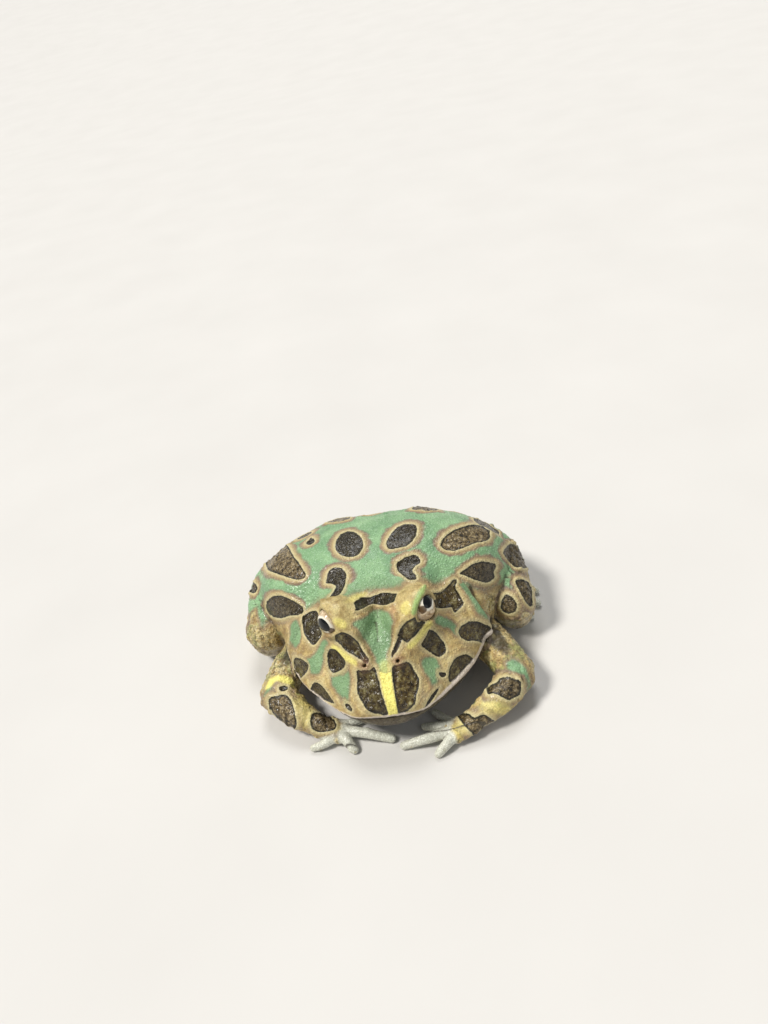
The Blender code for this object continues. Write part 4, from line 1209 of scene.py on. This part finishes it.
def skin_material():
    p = Paint("frog_skin")
    at = p.attribute
    middle = p.noise(1.8, 3.0, 0.6, 2.0)
    fine = p.noise(0.45, 3.0, 0.65, 5.0)
    small_grain = p.cells(0.42)
    grain_top = p.step(p.cells(0.85), 0.15, 0.55, 1.0, 0.0)
    wobble = p.plus(p.times(p.minus(middle, 0.5), 0.9), p.times(p.minus(fine, 0.5), 0.5))
    mark = p.plus(at("mark"), p.times(wobble, 0.8))
    green = p.plus(at("green"), p.times(wobble, 1.2))
    mouth = at("mouth")

    # Teal ground: a slow change of tone, paler grains, dark flecks, painted glints of highlight on some
    # grains, and duller on the head
    teal = p.over(
        p.ramp(p.noise(7.0),
               ((0.3, (0.16, 0.30, 0.155)), (0.5, (0.225, 0.40, 0.20)), (0.7, (0.32, 0.52, 0.27)))),
        ((0.46, 0.70, 0.44), grain_top, 0.35),
        ((0.16, 0.26, 0.13), p.step(fine, 0.58, 0.72, 0.0, 0.35)),
        # painted highlight: pale glints on a share of the grains, standing in for the wet skin's sparkle
        ((0.75, 0.88, 0.62), p.step(small_grain, 0.26, 0.1),
         p.step(p.noise(0.8, 3.0, 0.7, 80.0), 0.53, 0.62), 0.6),
        ((0.19, 0.27, 0.12), at("head"), 0.35),
    )

    # Tan ground: browner and paler grains, rosy on the head, greenish and dark specks on the limbs
    low = p.times(p.step(at("height"), 24.0, 13.0), p.step(at("head"), 0.8, 0.2))
    limb = p.math("MAXIMUM", at("limb"), low)
    tan = p.over(
        p.ramp(p.noise(3.4, 4.0, 0.6, 9.0),
               ((0.32, (0.29, 0.185, 0.072)), (0.5, (0.53, 0.395, 0.158)), (0.66, (0.75, 0.64, 0.32)))),
        ((0.45, 0.25, 0.09), p.step(p.noise(1.3, 3.0, 0.6, 14.0), 0.55, 0.75, 0.0, 0.45)),
        ((0.78, 0.66, 0.36), grain_top, 0.16),
        ((0.62, 0.36, 0.20), at("head"), p.step(p.noise(4.6, 2.0, 0.5, 90.0), 0.54, 0.68, 0.0, 0.35)),
        ((0.30, 0.36, 0.13), limb, p.step(p.noise(5.5, 3.0, 0.6, 25.0), 0.5, 0.6), 0.6),
        ((0.10, 0.065, 0.03), limb, p.step(p.noise(1.3, 4.0, 0.75, 21.0), 0.51, 0.58), 0.6),
        ((0.70, 0.62, 0.38), at("speckled"), p.step(p.noise(1.1, 4.0, 0.75, 27.0), 0.50, 0.58), 0.8),
        ((0.035, 0.026, 0.014), at("speckled"), p.step(p.noise(1.2, 4.0, 0.8, 33.0), 0.50, 0.56), 0.75),
    )

    # Halo of a marking: cream at its edge, then tan, then a brownish fringe. It reaches farther on the body.
    halo = p.ramp(p.times(mark, 0.25), (
        (0.0, (0.62, 0.55, 0.31)), (0.12, (0.56, 0.47, 0.24)), (0.27, (0.44, 0.335, 0.165)),
        (0.42, (0.31, 0.22, 0.13)), (0.60, (0.21, 0.15, 0.115))))
    halo = p.over(halo, ((0.62, 0.55, 0.33), grain_top, 0.3))
    irregular = p.times(p.minus(p.noise(3.6, 2.0, 0.5, 95.0), 0.45), 3.6)
    reach = p.plus(irregular, p.step(at("head"), 0.2, 0.8, 2.0, 1.0))

    # Yellow places, lids with painted shade in their folds, belly and fingers
    yellow = p.mix(p.step(fine, 0.3, 0.6), (0.84, 0.72, 0.16), (1.0, 0.93, 0.27))
    yellow_share = p.times(at("yellow"), p.step(middle, 0.22, 0.38, 0.5, 1.0))
    folds = p.step(p.cells(0.9, "DISTANCE_TO_EDGE", (1.0, 0.4, 1.0)), 0.0, 0.12, 1.0, 0.0)
    lid = p.over(
        p.ramp(p.noise(2.2, 4.0, 0.6, 31.0),
               ((0.35, (0.38, 0.27, 0.10)), (0.55, (0.58, 0.46, 0.20)), (0.7, (0.62, 0.54, 0.24)))),
        # painted shade: dark lines along the lid's folds, where shade falls in its creases
        ((0.24, 0.16, 0.07), folds, 0.35),
        ((0.30, 0.47, 0.15), p.step(p.plus(at("lid_green"), wobble), 0.5, -0.6), 0.85),
    )
    belly = p.over(
        p.mix(p.step(p.noise(2.4, 3.0, 0.6, 40.0), 0.45, 0.6), (0.60, 0.52, 0.42), (0.74, 0.69, 0.60)),
        ((0.07, 0.055, 0.035), p.step(p.noise(4.2, 3.0, 0.6, 44.0), 0.52, 0.57), 0.85),
    )
    digit = p.mix(p.step(fine, 0.4, 0.7), (0.56, 0.56, 0.46), (0.84, 0.85, 0.74))

    # Dark interiors: near-black with olive grains on the body, olive and brown on the face with painted
    # highlights of wet skin
    brown = p.ramp(p.noise(0.9, 4.0, 0.7, 50.0),
                   ((0.38, (0.012, 0.009, 0.005)), (0.5, (0.13, 0.092, 0.042)), (0.62, (0.38, 0.30, 0.165))))
    # the face marks' own brown and olive, whose two palest stops are painted highlights of the wet sheen
    face_brown_and_sheen = p.ramp(p.noise(1.7, 4.0, 0.65, 55.0),
                 ((0.36, (0.012, 0.008, 0.003)), (0.48, (0.075, 0.048, 0.013)), (0.58, (0.19, 0.15, 0.052)),
                  (0.68, (0.42, 0.38, 0.19))))
    dark = p.over(
        p.mix(p.step(middle, 0.35, 0.65), (0.008, 0.007, 0.004), (0.034, 0.030, 0.018)),
        (p.mix(at("head"), brown, face_brown_and_sheen), at("tone"), p.step(mark, -0.25, -0.9)),
        ((0.30, 0.27, 0.16), p.step(small_grain, 0.36, 0.14),
         p.step(p.noise(0.9, 3.0, 0.7, 60.0), 0.5, 0.6), 0.6),
    )

    # All of it in turn, with the nostrils, the lip, the jaw, a painted shadow along the mouth's line, the
    # lids' edges with painted shade, and painted shade in creases
    above_lip = p.minus(p.plus(mouth, p.times(wobble, 0.8)), at("lip_width"))
    jaw = p.mix(p.step(middle, 0.4, 0.65), (0.035, 0.03, 0.024), (0.10, 0.085, 0.06))
    colour = p.over(
        tan,
        (teal, p.step(green, 0.35, -0.45)),
        ((0.27, 0.18, 0.115), p.step(green, 1.1, 0.2), p.step(green, -1.0, 0.1), 0.6),
        (halo, p.step(p.minus(mark, reach), 0.7, -0.5), p.step(at("head"), 0.2, 0.8, 1.0, 0.8)),
        (yellow, yellow_share),
        (lid, at("lid"), p.minus(1.0, p.times(yellow_share, 0.9))),
        (belly, at("belly")),
        (digit, at("digit"), p.step(middle, 0.25, 0.4)),
        (dark, p.step(mark, 0.10, -0.12)),
        ((0.30, 0.15, 0.09), at("nostril"), 0.75),
        ((0.78, 0.68, 0.58), p.step(above_lip, 0.3, -0.3), at("lip"), p.step(middle, 0.2, 0.42, 0.35, 0.95)),
        (jaw, at("jaw"), 0.9),
        # painted shadow: near-black just below the mouth's line, where the upper lip overhangs the jaw
        ((0.015, 0.011, 0.008), p.step(mouth, -0.9, -0.4), p.step(mouth, 0.25, -0.1), 0.85),
        # the lid margins' dark brown, partly painted shade where the lids meet the eye
        ((0.05, 0.036, 0.014), at("lid_margin_and_shade"), 0.9),
        # painted shade: darker in creases, where the skin lies below its smoothed surface
        ((0.05, 0.035, 0.02), p.step(at("crease_shade"), 0.12, 0.8), 0.6),
    )
    colour = p.mix(p.step(small_grain, 0.35, 0.75, 0.0, 0.25), colour, (0.3, 0.3, 0.3), "MULTIPLY")
    p.link(colour, p.shader.inputs["Base Color"])

    rough = p.step(p.noise(1.2, 3.0, 0.6, 70.0), 0.3, 0.7, 0.36, 0.58)
    p.link(p.minus(rough, p.step(mark, 0.1, -0.6, 0.0, 0.22)), p.shader.inputs["Roughness"])
    p.constants(Coat_Weight=0.22, Coat_Roughness=0.12, Coat_IOR=1.36, IOR=1.38)
    grain_height = p.plus(p.times(grain_top, 0.15), p.times(p.step(small_grain, 0.1, 0.6, 1.0, 0.0), 0.045))
    bump_share = p.minus(p.minus(1.0, p.times(at("digit"), 0.6)), p.times(at("lid"), 0.6))
    p.bump(p.times(p.plus(grain_height, p.times(fine, 0.05)), bump_share), 0.9)
    return p.material


# Eyes


def on_globe(pixel, centre):
    """The place on a globe under a pixel, as the globe's centre sees it, or None beside the globe."""
    ray = np.array(VIEW_AXES.transposed() @ through(pixel))
    start = np.array(VIEW_POINT) - centre
    along = start @ ray
    inside = along**2 - start @ start + (EYE_RADIUS + CORNEA_SEEN) ** 2
    return None if inside < 0 else start - ray * (along + math.sqrt(inside))


def eye(name, side):
    """A globe with a low cornea. Attributes hold distances to the pupil's outline and the blotch's middle."""
    gaze = unit(mirrored(GAZE, side))
    long_axis = mirrored(PUPIL_AXIS, side)
    long_axis = unit(long_axis - gaze * (gaze @ long_axis))
    basis = np.array([long_axis, np.cross(gaze, long_axis), gaze])
    turns = np.linspace(0, 2 * math.pi, EYE_SEGMENTS, endpoint=False)
    local = np.array([
        (math.sin(tilt) * math.cos(turn), math.cos(tilt), math.sin(tilt) * math.sin(turn))
        for tilt in (math.pi * ring / EYE_RINGS for ring in range(1, EYE_RINGS)) for turn in turns
    ])
    faces = []
    for base in range(0, (EYE_RINGS - 2) * EYE_SEGMENTS, EYE_SEGMENTS):
        for j in range(EYE_SEGMENTS):
            k = (j + 1) % EYE_SEGMENTS
            faces.append((base + j, base + EYE_SEGMENTS + j, base + EYE_SEGMENTS + k, base + k))
    tilt = np.arccos(np.clip(local[:, 2], -1, 1))
    radius = EYE_RADIUS + CORNEA_HEIGHT * np.exp(-((tilt / CORNEA_TILT) ** 4))
    centre = mirrored(EYE_CENTRE, side)
    out = (local * radius[:, None]) @ basis
    hits = [on_globe(pixel, centre) for pixel in np.reshape(PUPILS[side], (-1, 2))]
    outline = np.array([hit for hit in hits if hit is not None]) @ basis[:2].T
    pupil = outline_distance(local[:, :2] * radius[:, None], closed_curve(outline))
    obj = mesh_object(name, centre + out, faces, {
        "pupil": np.where(local[:, 2] > 0, pupil, FAR),
        "blotch": np.linalg.norm(out - on_globe(BLOTCHES[side], centre), axis=1),
    })
    bm = bmesh.new()
    bm.from_mesh(obj.data)
    rings = bm.verts[:]
    bm.faces.new(rings[:EYE_SEGMENTS])
    bm.faces.new(rings[:-EYE_SEGMENTS - 1:-1])
    bmesh.ops.recalc_face_normals(bm, faces=bm.faces)
    bm.to_mesh(obj.data)
    bm.free()
    obj.data.shade_smooth()
    return obj


def eye_material():
    p = Paint("frog_eye")
    pupil = p.attribute("pupil")
    fine = p.noise(0.35, 4.0, 0.7)
    streak = p.noise(0.9, 4.0, 0.65, 3.0)
    wander = p.times(p.minus(streak, 0.5), 1.6)
    edge = p.plus(pupil, p.times(p.minus(fine, 0.5), 0.12))
    colour = p.over(
        p.ramp(streak, ((0.3, (0.20, 0.11, 0.045)), (0.47, (0.47, 0.34, 0.20)), (0.62, (0.68, 0.57, 0.40)))),
        ((0.24, 0.14, 0.08), p.step(fine, 0.55, 0.68, 0.0, 0.5)),
        ((0.80, 0.77, 0.66), p.step(p.plus(pupil, wander), 1.0, 0.35), 0.9),
        ((0.07, 0.034, 0.01), p.step(p.plus(p.attribute("blotch"), wander), 1.4, 1.0), 0.92),
        ((0.004, 0.005, 0.006), p.step(edge, 0.06, -0.06)),
        # partly the iris's dark outer edge, partly painted shade where the lids meet the globe
        ((0.20, 0.12, 0.07), p.step(pupil, 1.9, 2.8), 0.6),
    )
    p.link(colour, p.shader.inputs["Base Color"])
    p.link(p.step(fine, 0.3, 0.7, 0.22, 0.34), p.shader.inputs["Roughness"])
    p.constants(Coat_Weight=0.9, Coat_Roughness=0.03, Coat_IOR=1.34, IOR=1.2)
    p.bump(p.times(fine, 0.01))
    return p.material


# Stage


def floor():
    """A pale floor that rises a little far off all around, so that no horizon shows."""
    points = [
        (x, y, FLOOR_RISE * max(0.0, math.hypot(x, y) - FLOOR_FLAT)) for y in FLOOR_LINES for x in FLOOR_LINES
    ]
    count = len(FLOOR_LINES)
    starts = [row * count + column for row in range(count - 1) for column in range(count - 1)]
    faces = [(start, start + 1, start + count + 1, start + count) for start in starts]
    obj = mesh_object("floor", points, faces)
    p = Paint("pale_floor")
    p.link(p.mix(p.noise(60.0, 3.0), (0.60, 0.585, 0.56), (0.66, 0.645, 0.62)), p.shader.inputs["Base Color"])
    p.constants(Roughness=0.85)
    obj.data.materials.append(p.material)


def light_scene():
    """A pale world and three wide suns, so that the whole floor gets the same light."""
    world = bpy.data.worlds.new("soft_studio")
    world.use_nodes = True
    background = world.node_tree.nodes["Background"]
    background.inputs["Color"].default_value = WORLD_COLOUR
    background.inputs["Strength"].default_value = WORLD_STRENGTH
    bpy.context.scene.world = world
    for name, (place, width, strength, colour) in LAMPS.items():
        data = bpy.data.lights.new(name, "SUN")
        data.angle, data.energy, data.color = width, strength, colour
        lamp = bpy.data.objects.new(name, data)
        bpy.context.scene.collection.objects.link(lamp)
        back = Vector(place) - TARGET * MM
        lamp.matrix_world = Matrix.Translation(place) @ back.to_track_quat("Z", "Y").to_matrix().to_4x4()
    bpy.context.scene.view_settings.view_transform = "Standard"


def build():
    add_camera()
    net = build_net()
    attributes, moved = paint(net)
    even = net.smoothed(moved, EVEN_PASSES)
    rise = np.linalg.norm(moved - even, axis=1)
    below_brow = (net.verts[:, 1] < -11) & (net.verts[:, 2] < 25)
    most = np.where(below_brow, *MOST_RISE)
    places = even + (moved - even) * np.minimum(1.0, most / np.maximum(rise, 0.01))[:, None]
    places[:, 2] = np.maximum(places[:, 2], FLOOR)
    skin = mesh_object("skin", places, net.quads, attributes)
    skin.data.materials.append(skin_material())
    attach(skin, "root")
    eye_look = eye_material()
    for name, side in SIDES.items():
        globe = eye("eyeball_" + name, side)
        globe.data.materials.append(eye_look)
        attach(globe, "root")
        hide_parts("eye_" + name)
    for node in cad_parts:
        if not node.startswith("eye_"):
            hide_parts(node)
    floor()
    light_scene()


build()
